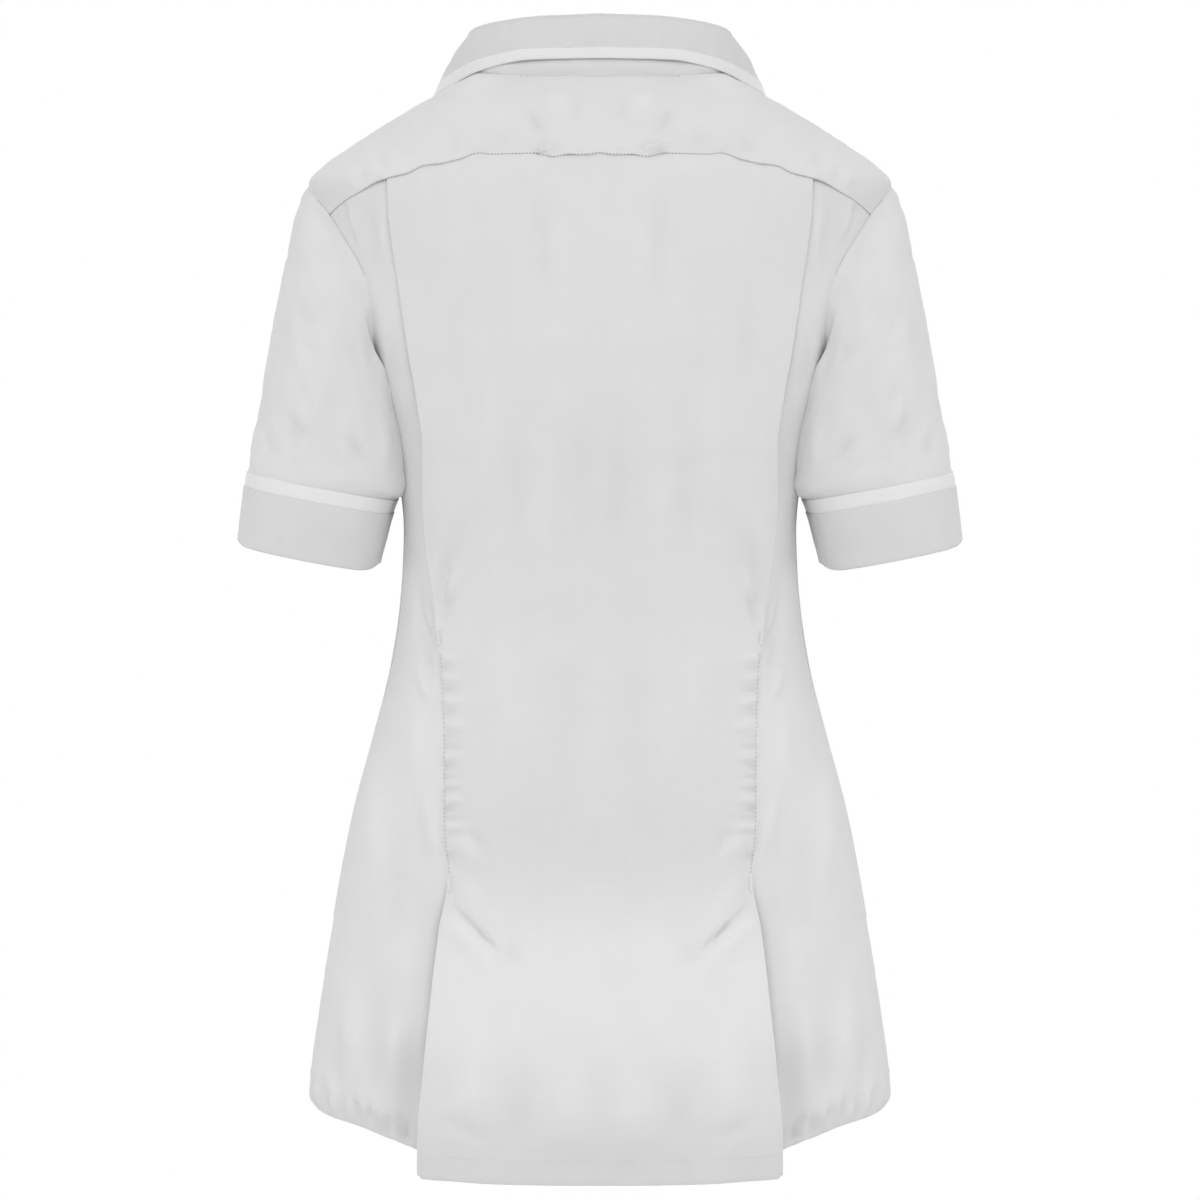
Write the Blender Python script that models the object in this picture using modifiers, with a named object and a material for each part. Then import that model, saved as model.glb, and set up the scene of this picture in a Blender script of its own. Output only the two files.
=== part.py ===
"""Medical tunic in its worn shape: a hollow shell of cut-and-sewn cloth pieces.

Units are metres and +Z is up. The front faces -Y and the wearer's left side is at +X. The
origin lies midway between the shoulders, level with the base of the neck, where the wearer
holds the garment up.

One smooth shape, the skin, stands for the outer face of the cloth round the wearer. It is
read from a short table of rings. A place on it has a height and an angle round the ring: 0 at
the wearer's left side, 90 degrees at the centre back and -90 degrees at the centre front. Every
body piece is a patch of the skin between its four seams, thickened into a wall.
"""

import math
from collections import namedtuple

import bpy
import numpy as np

# Cloth and seams
WALL = 0.0013
SEAM_GAP = 0.0003
HALF_GAP = SEAM_GAP / 2
CURVED_GAP = 0.00028  # each side of a seam where the cloth bends, so the walls' rims stay apart

# The worn shape: half width at the sides, and depth behind and before the side line
Ring = namedtuple("Ring", "height half_width back_depth front_depth")
RINGS = [
    Ring(-0.7400, 0.2125, 0.1195, 0.1460),
    Ring(-0.7097, 0.2102, 0.1190, 0.1445),
    Ring(-0.6804, 0.2071, 0.1180, 0.1420),
    Ring(-0.6220, 0.1981, 0.1160, 0.1370),
    Ring(-0.5638, 0.1880, 0.1130, 0.1310),
    Ring(-0.5059, 0.1762, 0.1080, 0.1240),
    Ring(-0.4481, 0.1605, 0.0975, 0.1130),
    Ring(-0.4049, 0.1495, 0.0890, 0.1050),
    Ring(-0.3618, 0.1425, 0.0835, 0.1000),
    Ring(-0.3331, 0.1400, 0.0840, 0.1010),
    Ring(-0.3045, 0.1390, 0.0875, 0.1070),
    Ring(-0.2759, 0.1411, 0.0935, 0.1160),
    Ring(-0.2400, 0.1470, 0.1010, 0.1260),
    Ring(-0.2000, 0.1560, 0.1090, 0.1320),
    Ring(-0.1700, 0.1650, 0.1125, 0.1300),
    Ring(-0.1195, 0.1796, 0.1125, 0.1160),
    Ring(-0.0830, 0.1960, 0.1100, 0.1010),
    Ring(-0.0605, 0.2061, 0.1070, 0.0905),
    Ring(-0.0492, 0.1979, 0.1040, 0.0840),
    Ring(-0.0351, 0.1801, 0.0990, 0.0750),
    Ring(-0.0211, 0.1580, 0.0935, 0.0650),
    Ring(-0.0075, 0.1346, 0.0860, 0.0540),
    Ring(-0.0005, 0.1204, 0.0815, 0.0485),
    Ring(0.0142, 0.0930, 0.0745, 0.0370),
]
SHOULDER_TIP = -0.0605
NECK_REACH = 0.03
HALVINGS = 30
SQUARENESS = 2.4  # exponent of a ring's outline: 2 is an ellipse

# The armhole is an ellipse in the side view. Its angle is 0 at the shoulder and 90 at the back.
ARMHOLE_HEIGHT = -0.130
ARMHOLE_HALF_HEIGHT = 0.070
ARMHOLE_HALF_DEPTH = 0.057
UNDERARM = ARMHOLE_HEIGHT - ARMHOLE_HALF_HEIGHT

# Seams across the shoulders, as distance from the centre back and height
SeamPoint = namedtuple("SeamPoint", "x height")
YOKE_SEAM = [
    SeamPoint(0.0000, -0.0466),
    SeamPoint(0.0300, -0.0487),
    SeamPoint(0.0440, -0.0468),
    SeamPoint(0.0807, -0.0460),
    SeamPoint(0.1020, -0.0505),
    SeamPoint(0.1192, -0.0530),
    SeamPoint(0.1435, -0.0600),
    SeamPoint(0.1695, -0.0689),
    SeamPoint(0.1876, -0.0830),
]
BACK_SEAM_TURN = 47.8  # where the back and front yoke seams meet the armhole
FRONT_SEAM_TURN = -24.0
TURN_GAP = 0.3
FRONT_YOKE_Y = ARMHOLE_HALF_DEPTH * math.sin(math.radians(FRONT_SEAM_TURN))
NECK_FRONT_HEIGHT = 0.0112
NeckPoint = namedtuple("NeckPoint", "angle height")
NECK_SEAM = [
    NeckPoint(-34.0, NECK_FRONT_HEIGHT),
    NeckPoint(0.0, 0.0138),
    NeckPoint(35.0, 0.0110),
    NeckPoint(62.0, 0.0090),
    NeckPoint(90.0, 0.0084),
]

# The centre back is folded under along both sides: its half width, and how far it stands off
PleatRow = namedtuple("PleatRow", "height half_width stand_off")
PLEAT = [
    PleatRow(-0.7362, 0.1232, 0.0450),
    PleatRow(-0.7055, 0.1224, 0.0410),
    PleatRow(-0.6577, 0.1178, 0.0320),
    PleatRow(-0.6250, 0.1140, 0.0225),
    PleatRow(-0.5900, 0.1110, 0.0100),
    PleatRow(-0.5700, 0.1090, 0.0035),
    PleatRow(-0.5500, 0.1058, 0.0004),
    PleatRow(-0.5108, 0.1082, 0.0000),
    PleatRow(-0.4376, 0.1091, 0.0000),
    PleatRow(-0.3812, 0.1129, 0.0000),
    PleatRow(-0.3421, 0.1174, 0.0000),
    PleatRow(-0.2867, 0.1221, 0.0000),
    PleatRow(-0.2425, 0.1209, 0.0010),
    PleatRow(-0.2132, 0.1241, 0.0020),
    PleatRow(-0.1608, 0.1332, 0.0022),
    PleatRow(-0.1046, 0.1416, 0.0012),
    PleatRow(-0.0600, 0.1441, 0.0000),
]
PLEAT_RETURN = 0.024
PLEAT_FOLD_RADIUS = 0.0010
PLEAT_TOP_GAP = 0.0007  # the folded layers end this far below the yoke
SIDE_RECESS = 0.0048  # the side back runs this far below the centre back's outer face
SIDE_RECESS_FADE = 0.030
FADE_SHARE = 0.85  # and it has risen again within this share of the way to the side
LEDGE = 0.004  # the side back starts to rise this far beyond the fold

# Hems, as distance from the middle and height
SIDE_BACK_HEM = [
    SeamPoint(0.0900, -0.7275),
    SeamPoint(0.1261, -0.7258),
    SeamPoint(0.1604, -0.7223),
    SeamPoint(0.1950, -0.7202),
    SeamPoint(0.2120, -0.7165),
]
FRONT_HEM = [
    SeamPoint(-0.0200, -0.7290),
    SeamPoint(0.1000, -0.7270),
    SeamPoint(0.1900, -0.7200),
    SeamPoint(0.2120, -0.7165),
]
CENTRE_HEM_HEIGHT = -0.7362
CENTRE_HEM_RISE = 0.0040  # the centre back's bottom corners are rounded by this much
CORNER_POWER = 8
EDGE_SHIFT_POWER = 4  # rows follow a seam or a hem close to it, and run level further off

# Front closure: a straight line up the roll of the rever, then the overlap down the middle
GORGE = SeamPoint(0.0700, -0.0200)
ROLL_SLOPE = 1.545
OVERLAP = 0.016
FRONT_LAP = 0.0019
FRONT_LAP_TOP = -0.060
FRONT_SHARES = [0.0, 0.055, 0.115, 0.25, 0.38, 0.51, 0.64, 0.77, 0.89, 1.0]
LAP_FULL_SHARE = 0.135  # the lap is whole up to this share of a front's width, and then fades
LAP_NONE_SHARE = 0.25
BREAK_HEIGHT = GORGE.height - (GORGE.x + OVERLAP) * ROLL_SLOPE

# Rever, measured along its roll line from its foot, and out from the line
REVER_TIP_ALONG = 0.81
REVER_TIP_OUT = 0.060
REVER_FOOT_OUT = 0.004
REVER_LIFT = 0.0014
REVER_ROLL_LIFT = 0.0012
REVER_ROLL_WIDTH = 0.012
REVER_HEAD_GAP = 0.0015
REVER_ROWS = 9
REVER_COLUMNS = 5
UNDER_REVER_FOOT_X = 0.004
OVER_REVER_FOOT_X = -0.010

# Collar: stand up to the fold, then the leaf turned down to its edge
CollarRow = namedtuple("CollarRow", "station fold_x fold_y fold_z edge_x edge_y edge_z")
COLLAR = [
    CollarRow(0.00, 0.0000, 0.0700, 0.0482, 0.0000, 0.0945, 0.0172),
    CollarRow(0.20, 0.0420, 0.0655, 0.0481, 0.0461, 0.0895, 0.0167),
    CollarRow(0.38, 0.0705, 0.0480, 0.0474, 0.0806, 0.0740, 0.0122),
    CollarRow(0.50, 0.0832, 0.0260, 0.0464, 0.1080, 0.0450, 0.0050),
    CollarRow(0.60, 0.0868, 0.0020, 0.0440, 0.1190, 0.0080, 0.0030),
    CollarRow(0.72, 0.0845, -0.0200, 0.0355, 0.1185, -0.0230, -0.0100),
    CollarRow(0.86, 0.0795, -0.0400, 0.0180, 0.1110, -0.0480, -0.0200),
    CollarRow(1.00, 0.0700, -0.0655, -0.0150, 0.0980, -0.0700, -0.0350),
]
NECK_CORNER_STATION = 0.74  # where the neck seam turns down the front
COLLAR_CLEARANCE = 0.0022
COLLAR_TRIM_SHARE = 0.80
COLLAR_WALL = 0.0016
CROWN_OUT = 0.0030  # the leaf turns over this far out from the fold
CROWN_DROP = 0.0006
CROWN_SHARE = 0.08
LEAF_BOW = 0.0030
LEAF_BOW_RISE = 0.7
TRIM_GAP_SHARE = 0.0045
STAND_DROP = 0.0026  # the stand ends this far below the fold
STAND_RISE = 0.0013  # and starts this far above the neck seam, more at the front
STAND_FRONT_RISE = 0.0006
STAND_SHARES = [0.0, 0.35, 0.7, 1.0]
LEAF_SHARES = [0.0, 0.08, 0.2, 0.4, 0.6]
COLLAR_STATIONS = [0.0, 0.1, 0.2, 0.3, 0.39, 0.47, 0.54, 0.61, 0.68, 0.76, 0.84, 0.92, 1.0]

# Sleeve rings, by the ring's outermost and innermost point and its half depth
SleeveRow = namedtuple("SleeveRow", "share outer_x outer_z inner_x inner_z half_depth")
SLEEVE = [
    SleeveRow(0.00, 0.2065, -0.0600, 0.1560, -0.2000, 0.0570),
    SleeveRow(0.16, 0.2150, -0.0790, 0.1540, -0.2070, 0.0640),
    SleeveRow(0.34, 0.2240, -0.1190, 0.1500, -0.2180, 0.0680),
    SleeveRow(0.54, 0.2325, -0.1640, 0.1450, -0.2330, 0.0695),
    SleeveRow(0.72, 0.2405, -0.2070, 0.1415, -0.2490, 0.0690),
    SleeveRow(0.88, 0.2470, -0.2430, 0.1405, -0.2650, 0.0665),
    SleeveRow(1.00, 0.2508, -0.2632, 0.1465, -0.2835, 0.0635),
]
CUFF = [
    SleeveRow(0.00, 0.2508, -0.2632, 0.1465, -0.2835, 0.0640),
    SleeveRow(0.18, 0.2522, -0.2717, 0.1493, -0.2915, 0.0640),
    SleeveRow(1.00, 0.2580, -0.3125, 0.1610, -0.3295, 0.0640),
]
CUFF_TRIM_SHARE = 0.18
CAP_EXTENSION = 0.004  # the sleeve head carries the shoulder on this far before it drops
CAP_SIDE = 0.1
CAP_FADE = 0.6
ARMHOLE_HOLD = 0.5  # the sleeve follows the armhole's shape down to this share of its length
CUFF_WALL = 0.0015
CUFF_SHARES = [CUFF_TRIM_SHARE + 0.004, 0.45, 0.75, 1.0]
CUFF_TRIM_SHARES = [0.006, CUFF_TRIM_SHARE - 0.003]
SIDE_CLEARANCE = 0.0012
ARMHOLE_GAP = 0.0006
SLEEVE_PROUD = 0.0006

# Buttons
BUTTON_RADIUS = 0.0075
BUTTON_THICKNESS = 0.0026
BUTTON_BEVEL = 0.0007
BUTTON_SIDES = 20
BUTTON_HEIGHTS = [-0.172, -0.272, -0.372, -0.472, -0.572]

# Where rows and columns of points run. Pieces that share a seam share its points.
ARMHOLE_YOKE_TURNS = [BACK_SEAM_TURN - TURN_GAP, 43.0, 34.0, 22.0, 10.0, -4.0, -19.0,
                      FRONT_SEAM_TURN + TURN_GAP]
ARMHOLE_BACK_TURNS = [BACK_SEAM_TURN + TURN_GAP, 52.5, 64.0, 80.0, 98.0, 116.0, 136.0, 158.0,
                      180.0]
ARMHOLE_FRONT_TURNS = [FRONT_SEAM_TURN - TURN_GAP, -29.0, -42.0, -60.0, -80.0, -100.0, -120.0,
                       -140.0, -160.0, -180.0]
CENTRE_SHARES = [0.0, 0.14, 0.28, 0.42, 0.56, 0.70, 0.82, 0.92, 1.0]
FOLD_TURNS = [45.0, 0.0, -45.0, -90.0]
RETURN_SHARES = [0.3, 0.65, 1.0]
LEDGE_COLUMNS = 2
SIDE_BACK_COLUMNS = 6
NECK_COLUMNS = 6
NECK_EDGE_SHARES = [0.0, 0.12, 0.56, 1.0]
BODY_STEPS = 13
SLEEVE_SHARES = [0.0, 0.04, 0.12, 0.22, 0.34, 0.46, 0.58, 0.70, 0.82, 0.92, 0.997]
CUFF_COLUMNS = 24
UNDERARM_ROW_DROP = 0.010
NEAR_SEAM = 0.004  # a row this close to a seam keeps the walls square to it

WHITE_CLOTH = (0.74, 0.74, 0.745, 1.0)
TRIM_CLOTH = (0.82, 0.82, 0.825, 1.0)
BUTTON_WHITE = (0.80, 0.80, 0.80, 1.0)


def through(knots, values, at):
    """Smooth curve through a table's values that doesn't overshoot between its rows."""
    knots = np.asarray(knots, float)
    values = np.asarray(values, float)
    steps = np.diff(knots)
    slopes = np.diff(values) / steps
    tangents = np.zeros_like(values)
    tangents[0] = slopes[0]
    tangents[-1] = slopes[-1]
    same_way = slopes[:-1] * slopes[1:] > 0
    before, after = slopes[:-1][same_way], slopes[1:][same_way]
    tangents[1:-1][same_way] = 2 * before * after / (before + after)
    at = min(max(at, knots[0]), knots[-1])
    i = min(max(int(np.searchsorted(knots, at)) - 1, 0), len(steps) - 1)
    t = (at - knots[i]) / steps[i]
    start = (1 + 2 * t) * (1 - t) ** 2 * values[i] + t**2 * (3 - 2 * t) * values[i + 1]
    bend = t * (1 - t) ** 2 * tangents[i] - t**2 * (1 - t) * tangents[i + 1]
    return start + steps[i] * bend


def read(table, column, at):
    """A named column of a table, at a value of its first column."""
    key = table[0]._fields[0]
    return through([getattr(row, key) for row in table], [getattr(row, column) for row in table], at)


def blend(a, b, share):
    return a + (b - a) * share


def ease(share):
    """0 to 1 with level ends."""
    share = min(max(share, 0.0), 1.0)
    return share * share * (3 - 2 * share)


def signed_power(value, power):
    return math.copysign(abs(value) ** power, value)


def depth_at(height, behind):
    return read(RINGS, "back_depth" if behind else "front_depth", height)


def skin(place, lift=0.0):
    """Point on the skin at (angle in degrees, height), moved out along the skin's normal."""
    angle, height = place
    cos, sin = math.cos(math.radians(angle)), math.sin(math.radians(angle))
    behind = sin >= 0
    half_width, depth = read(RINGS, "half_width", height), depth_at(height, behind)
    x = half_width * signed_power(cos, 2 / SQUARENESS)
    y = depth * signed_power(sin, 2 / SQUARENESS)
    point = np.array([x, y, height])
    if not lift:
        return point
    step = 0.001
    width_slope = (read(RINGS, "half_width", height + step) - half_width) / step
    depth_slope = (depth_at(height + step, behind) - depth) / step
    across, along = abs(x) / half_width, abs(y) / depth
    normal = np.array([
        signed_power(x / half_width, SQUARENESS - 1) / half_width,
        signed_power(y / depth, SQUARENESS - 1) / depth,
        -(across**SQUARENESS) * width_slope / half_width - along**SQUARENESS * depth_slope / depth,
    ])
    return point + lift * normal / np.linalg.norm(normal)


def angle_at_x(x, height, behind):
    """Angle of the skin's point at this x; x below 0 lies on the wearer's right."""
    share = min(abs(x) / read(RINGS, "half_width", height), 1.0)
    angle = math.degrees(math.acos(share ** (SQUARENESS / 2)))
    if x < 0:
        angle = 180 - angle
    return angle if behind else -angle


def angle_at_y(y, height):
    share = min(abs(y) / depth_at(height, y >= 0), 1.0)
    return math.copysign(math.degrees(math.asin(share ** (SQUARENESS / 2))), y)


def height_under(x, y):
    """Height of the shoulder's surface at a place seen from above."""
    top = RINGS[-1].height
    low, high = SHOULDER_TIP, top + NECK_REACH
    for _ in range(HALVINGS):
        middle = (low + high) / 2
        half_width = read(RINGS, "half_width", middle) - max(middle - top, 0)
        depth = depth_at(middle, y >= 0) - max(middle - top, 0)
        inside = (abs(x) / half_width) ** SQUARENESS + (abs(y) / depth) ** SQUARENESS < 1
        low, high = (middle, high) if inside else (low, middle)
    return low


def side_x(y, height):
    """How far out the body's side reaches at a depth and height."""
    share = min(abs(y) / depth_at(height, y >= 0), 1.0)
    return read(RINGS, "half_width", height) * (1 - share**SQUARENESS) ** (1 / SQUARENESS)


def armhole(turn, inset=0.0):
    """Place on the skin of the armhole's edge, or of a loop that lies inset within it."""
    turn = math.radians(turn)
    y = (ARMHOLE_HALF_DEPTH - inset) * math.sin(turn)
    height = ARMHOLE_HEIGHT + (ARMHOLE_HALF_HEIGHT - inset) * math.cos(turn)
    return np.array([angle_at_y(y, height), height])


def spaced(start, end, steps):
    return [float(v) for v in np.linspace(start, end, steps + 1)]


def patch(near, far, first, last, shares=None):
    """Places between four seams: two across (near, far) and the two that join their ends."""
    shares = shares or spaced(0, 1, len(near) - 1)
    rows = []
    for j in range(len(first)):
        t = (first[j][1] - first[0][1]) / (first[-1][1] - first[0][1])
        row = []
        for i, s in enumerate(shares):
            across = blend(near[i], far[i], t)
            along = blend(first[j], last[j], s)
            corners = blend(blend(near[0], far[0], t), blend(near[-1], far[-1], t), s)
            row.append(across + along - corners)
        rows.append(row)
    return rows


def neck_corner(gap=-CURVED_GAP):
    """Place where the neck seam meets the front yoke seam."""
    return np.array([angle_at_y(FRONT_YOKE_Y + gap, NECK_FRONT_HEIGHT), NECK_FRONT_HEIGHT])


def on_seam(seam, x, behind, drop=0.0):
    """Place on the skin of a seam that is given by x and height."""
    height = read(seam, "height", x) - drop
    return np.array([angle_at_x(x, height, behind), height])


def material(name, colour, roughness):
    made = bpy.data.materials.new(name)
    made.use_nodes = True
    shader = made.node_tree.nodes["Principled BSDF"]
    shader.inputs["Base Color"].default_value = colour
    shader.inputs["Roughness"].default_value = roughness
    shader.inputs["Metallic"].default_value = 0.0
    return made


def sheet_object(name, rows, look, wall=WALL, side=-1.0, closed=False, mirrored=False):
    """Cloth piece: a grid of points, thickened to its wall. Side -1 keeps the grid outermost."""
    count = len(rows[0])
    points = [tuple(float(v) for v in point) for row in rows for point in row]
    faces = []
    for j in range(len(rows) - 1):
        for i in range(count if closed else count - 1):
            k = (i + 1) % count
            faces.append((j * count + i, j * count + k, (j + 1) * count + k, (j + 1) * count + i))
    mesh = bpy.data.meshes.new(name)
    mesh.from_pydata(points, [], faces)
    mesh.materials.append(look)
    mesh.shade_smooth()
    piece = bpy.data.objects.new(name, mesh)
    tunic.objects.link(piece)
    if mirrored:
        mirror = piece.modifiers.new("Mirror", "MIRROR")
        mirror.merge_threshold = 0.0001
        mirror.use_clip = True
    solidify = piece.modifiers.new("Wall", "SOLIDIFY")
    solidify.thickness = wall
    solidify.offset = side
    return piece


def turned(rows):
    """The same grid seen from its other side."""
    return [list(reversed(row)) for row in rows]


def to_side(rows, sign):
    """The grid on the wearer's left (1) or, mirrored, on the right (-1)."""
    if sign > 0:
        return rows
    return turned([[point * np.array([-1, 1, 1]) for point in row] for row in rows])


def yoke_stations():
    """Distances along the back yoke seam where the pieces below it have their points."""
    edge = pleat_x(YOKE_SEAM[6].height)
    stations = [share * edge for share in CENTRE_SHARES]
    return stations + spaced(edge + LEDGE, YOKE_SEAM[-1].x, SIDE_BACK_COLUMNS)


def yoke(look):
    """One piece over both shoulders, from the back yoke seam to the front yoke seams."""
    near = [on_seam(YOKE_SEAM, x, True, -CURVED_GAP) for x in yoke_stations()]
    far = []
    for angle in spaced(90, neck_corner(HALF_GAP)[0], NECK_COLUMNS):
        far.append(np.array([angle, read(NECK_SEAM, "height", angle)]))
    front_end = armhole(ARMHOLE_YOKE_TURNS[-1])
    for share in FRONT_SHARES[1:]:
        height = blend(NECK_FRONT_HEIGHT, front_end[1], share)
        far.append(np.array([angle_at_y(FRONT_YOKE_Y + HALF_GAP, height), height]))
    last = [armhole(turn, -HALF_GAP) for turn in ARMHOLE_YOKE_TURNS]
    near[-1], far[-1] = last[0], last[-1]
    turn_span = ARMHOLE_YOKE_TURNS[-1] - ARMHOLE_YOKE_TURNS[0]
    shares = [(turn - ARMHOLE_YOKE_TURNS[0]) / turn_span for turn in ARMHOLE_YOKE_TURNS]
    first = [blend(near[0], far[0], share) for share in shares]
    rows = [[skin(place) for place in row] for row in patch(near, far, first, last)]
    return sheet_object("yoke", turned(rows), look, mirrored=True)


def pleat_x(height):
    return read(PLEAT, "half_width", height)


def pleat_heights():
    """Heights of the rows along the pleat, from the yoke seam to the side back's hem."""
    top = read(YOKE_SEAM, "height", pleat_x(YOKE_SEAM[6].height)) - PLEAT_TOP_GAP
    hem = read(SIDE_BACK_HEM, "height", pleat_x(SIDE_BACK_HEM[0].height))
    low = UNDERARM - UNDERARM_ROW_DROP
    heights = [top] + spaced(top - NEAR_SEAM, low, len(ARMHOLE_BACK_TURNS) - 2)
    return heights + spaced(heights[-1], hem, BODY_STEPS)[1:]


def centre_back(look):
    """Middle of the back, folded under at both sides into the pleats."""
    middle = -WALL / 2
    heights = pleat_heights()
    top, hem = heights[0], heights[-1]
    rows = []
    for level in heights:
        row = []
        drop = (top - level) / (top - hem)
        for share in CENTRE_SHARES:
            seam_shift = read(YOKE_SEAM, "height", share * pleat_x(top)) - PLEAT_TOP_GAP - top
            corner_rise = CENTRE_HEM_RISE * share**CORNER_POWER
            hem_shift = CENTRE_HEM_HEIGHT + corner_rise - hem
            height = level + seam_shift * (1 - drop) ** EDGE_SHIFT_POWER
            height += hem_shift * drop**EDGE_SHIFT_POWER
            x = share * pleat_x(height)
            place = skin((angle_at_x(x, height, True), height), middle)
            row.append(place + np.array([0, read(PLEAT, "stand_off", height), 0]))
        edge = row[-1]
        height = edge[2]
        for angle in FOLD_TURNS:
            turn = math.radians(angle)
            out = math.cos(turn) * PLEAT_FOLD_RADIUS
            down = (1 - math.sin(turn)) * PLEAT_FOLD_RADIUS
            row.append(edge + np.array([out, -down, 0]))
        fold_lift = read(PLEAT, "stand_off", height) - 2 * PLEAT_FOLD_RADIUS
        for share in RETURN_SHARES:
            x = pleat_x(height) - PLEAT_RETURN * share
            place = skin((angle_at_x(x, height, True), height), middle)
            lift = blend(fold_lift, -2 * PLEAT_FOLD_RADIUS, share)
            row.append(place + np.array([0, lift, 0]))
        rows.append(row)
    return sheet_object("centre_back", rows, look, side=0.0, mirrored=True)


def side_recess(x, height):
    """How far the side back lies below the skin, most of all under the centre back's fold."""
    start = pleat_x(height) + LEDGE
    fade = min(SIDE_RECESS_FADE, FADE_SHARE * (read(RINGS, "half_width", height) - start))
    return SIDE_RECESS * (1 - ease((abs(x) - start) / fade))


def down_to_hem(place, hem, behind):
    """The place at the same angle that lies on a hem."""
    angle, height = place
    for _ in range(4):
        height = read(hem, "height", skin((angle, height))[0])
    return np.array([angle, height])


def side_back(name, look, sign):
    """Side of the back, from the pleat's inner edge to the armhole and the side seam."""
    heights = pleat_heights()
    columns = []
    for offset in (-PLEAT_RETURN, LEDGE):
        columns.append([
            np.array([angle_at_x(pleat_x(height) + offset, height, True), height])
            for height in heights
        ])
    inner, ledge = columns
    outer = [armhole(turn, -HALF_GAP) for turn in ARMHOLE_BACK_TURNS]
    outer[-1][0] = angle_at_y(CURVED_GAP, UNDERARM)
    hem_side = read(SIDE_BACK_HEM, "height", read(RINGS, "half_width", heights[-1]))
    for height in spaced(UNDERARM, hem_side, BODY_STEPS)[1:]:
        outer.append(np.array([angle_at_y(CURVED_GAP, height), height]))
    stations = yoke_stations()[-SIDE_BACK_COLUMNS - 1:]
    near = [on_seam(YOKE_SEAM, x, True, CURVED_GAP) for x in stations]
    near[0], near[-1] = ledge[0], outer[0]
    far = [down_to_hem((angle, hem_side), SIDE_BACK_HEM, True)
           for angle in spaced(ledge[-1][0], outer[-1][0], SIDE_BACK_COLUMNS)]
    far[0], far[-1] = ledge[-1], outer[-1]
    beyond = patch(near, far, ledge, outer)
    rows = []
    for inner_place, places in zip(inner, beyond):
        under = [blend(inner_place, places[0], i / LEDGE_COLUMNS) for i in range(LEDGE_COLUMNS)]
        row = []
        for place in under + places:
            point = skin(place)
            row.append(point - np.array([0, side_recess(point[0], point[2]), 0]))
        rows.append(row)
    return sheet_object(name, to_side(rows, sign), look)


def front_lap(place):
    """How far the lapping front stands off the other: in full to past its far edge."""
    angle, height = place
    share = 1 - angle / angle_at_x(roll_x(height), height, False)
    fade_up = ease((FRONT_LAP_TOP - height) / -FRONT_LAP_TOP)
    fade_out = (share - LAP_FULL_SHARE) / (LAP_NONE_SHARE - LAP_FULL_SHARE)
    return FRONT_LAP * fade_up * (1 - min(max(fade_out, 0.0), 1.0))


def roll_x(height):
    """Where the front's inner edge runs: up the roll line above the break, straight below it."""
    return max(GORGE.x - (GORGE.height - height) / ROLL_SLOPE, -OVERLAP)


def neck_edge(share):
    """Place on the front's neck edge between the yoke seam (0) and the gorge (1)."""
    gorge = np.array([angle_at_x(GORGE.x, GORGE.height, False), GORGE.height])
    return blend(neck_corner(), gorge, share)


def closure_heights():
    return spaced(BREAK_HEIGHT, FRONT_HEM[0].height, BODY_STEPS)


def front_grid():
    """Places of a front, from the front yoke seam to the hem."""
    outer = [armhole(turn, -HALF_GAP) for turn in ARMHOLE_FRONT_TURNS]
    outer[-1][0] = angle_at_y(-CURVED_GAP, UNDERARM)
    hem_side = read(FRONT_HEM, "height", read(RINGS, "half_width", FRONT_HEM[-1].height))
    for height in spaced(UNDERARM, hem_side, BODY_STEPS)[1:]:
        outer.append(np.array([angle_at_y(-CURVED_GAP, height), height]))
    inner = [neck_edge(share) for share in NECK_EDGE_SHARES]
    roll_steps = len(ARMHOLE_FRONT_TURNS) - len(inner)
    for height in spaced(GORGE.height, BREAK_HEIGHT, roll_steps)[1:]:
        inner.append(np.array([angle_at_x(roll_x(height), height, False), height]))
    for height in closure_heights()[1:]:
        inner.append(np.array([angle_at_x(-OVERLAP, height, False), height]))
    near, far = [], []
    for share in FRONT_SHARES:
        height = blend(NECK_FRONT_HEIGHT, outer[0][1], share)
        near.append(np.array([angle_at_y(FRONT_YOKE_Y - CURVED_GAP, height), height]))
        angle = blend(inner[-1][0], outer[-1][0], share)
        far.append(down_to_hem((angle, hem_side), FRONT_HEM, False))
    near[0], near[-1] = inner[0], outer[0]
    far[0], far[-1] = inner[-1], outer[-1]
    return patch(near, far, inner, outer, FRONT_SHARES)


def front(name, look, sign):
    """Front from the shoulder to the hem. The wearer's right front laps over the left one."""
    rows = []
    for places in front_grid():
        row = []
        for place in places:
            lap = front_lap(place) if sign < 0 else 0.0
            row.append(skin(place) - np.array([0, lap, 0]))
        rows.append(row)
    return sheet_object(name, turned(to_side(rows, sign)), look)


def rever(name, look, sign):
    """Top of the front, turned back along the roll line and lying on the chest."""
    foot_x = UNDER_REVER_FOOT_X if sign > 0 else OVER_REVER_FOOT_X
    foot = np.array([foot_x, GORGE.height - (GORGE.x - foot_x) * ROLL_SLOPE])
    head = np.array([GORGE.x, GORGE.height]) - REVER_HEAD_GAP * np.array([1, ROLL_SLOPE])
    along = head - foot
    out = np.array([along[1], -along[0]]) / np.linalg.norm(along)
    rows = []
    for share in spaced(0, 1, REVER_ROWS):
        inner = foot + along * share
        width = blend(REVER_FOOT_OUT, REVER_TIP_OUT, share)
        outer = foot + along * REVER_TIP_ALONG * share + out * width
        row = []
        for reach in spaced(0, 1, REVER_COLUMNS):
            x, height = blend(inner, outer, reach)
            lift = REVER_LIFT + REVER_ROLL_LIFT * (1 - ease(reach * width / REVER_ROLL_WIDTH))
            place = (angle_at_x(x, height, False), height)
            lap = front_lap(place) if sign < 0 else 0.0
            row.append(skin(place, lift) - np.array([0, lap, 0]))
        rows.append(row)
    return sheet_object(name, to_side(rows, sign), look, side=0.0)


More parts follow.
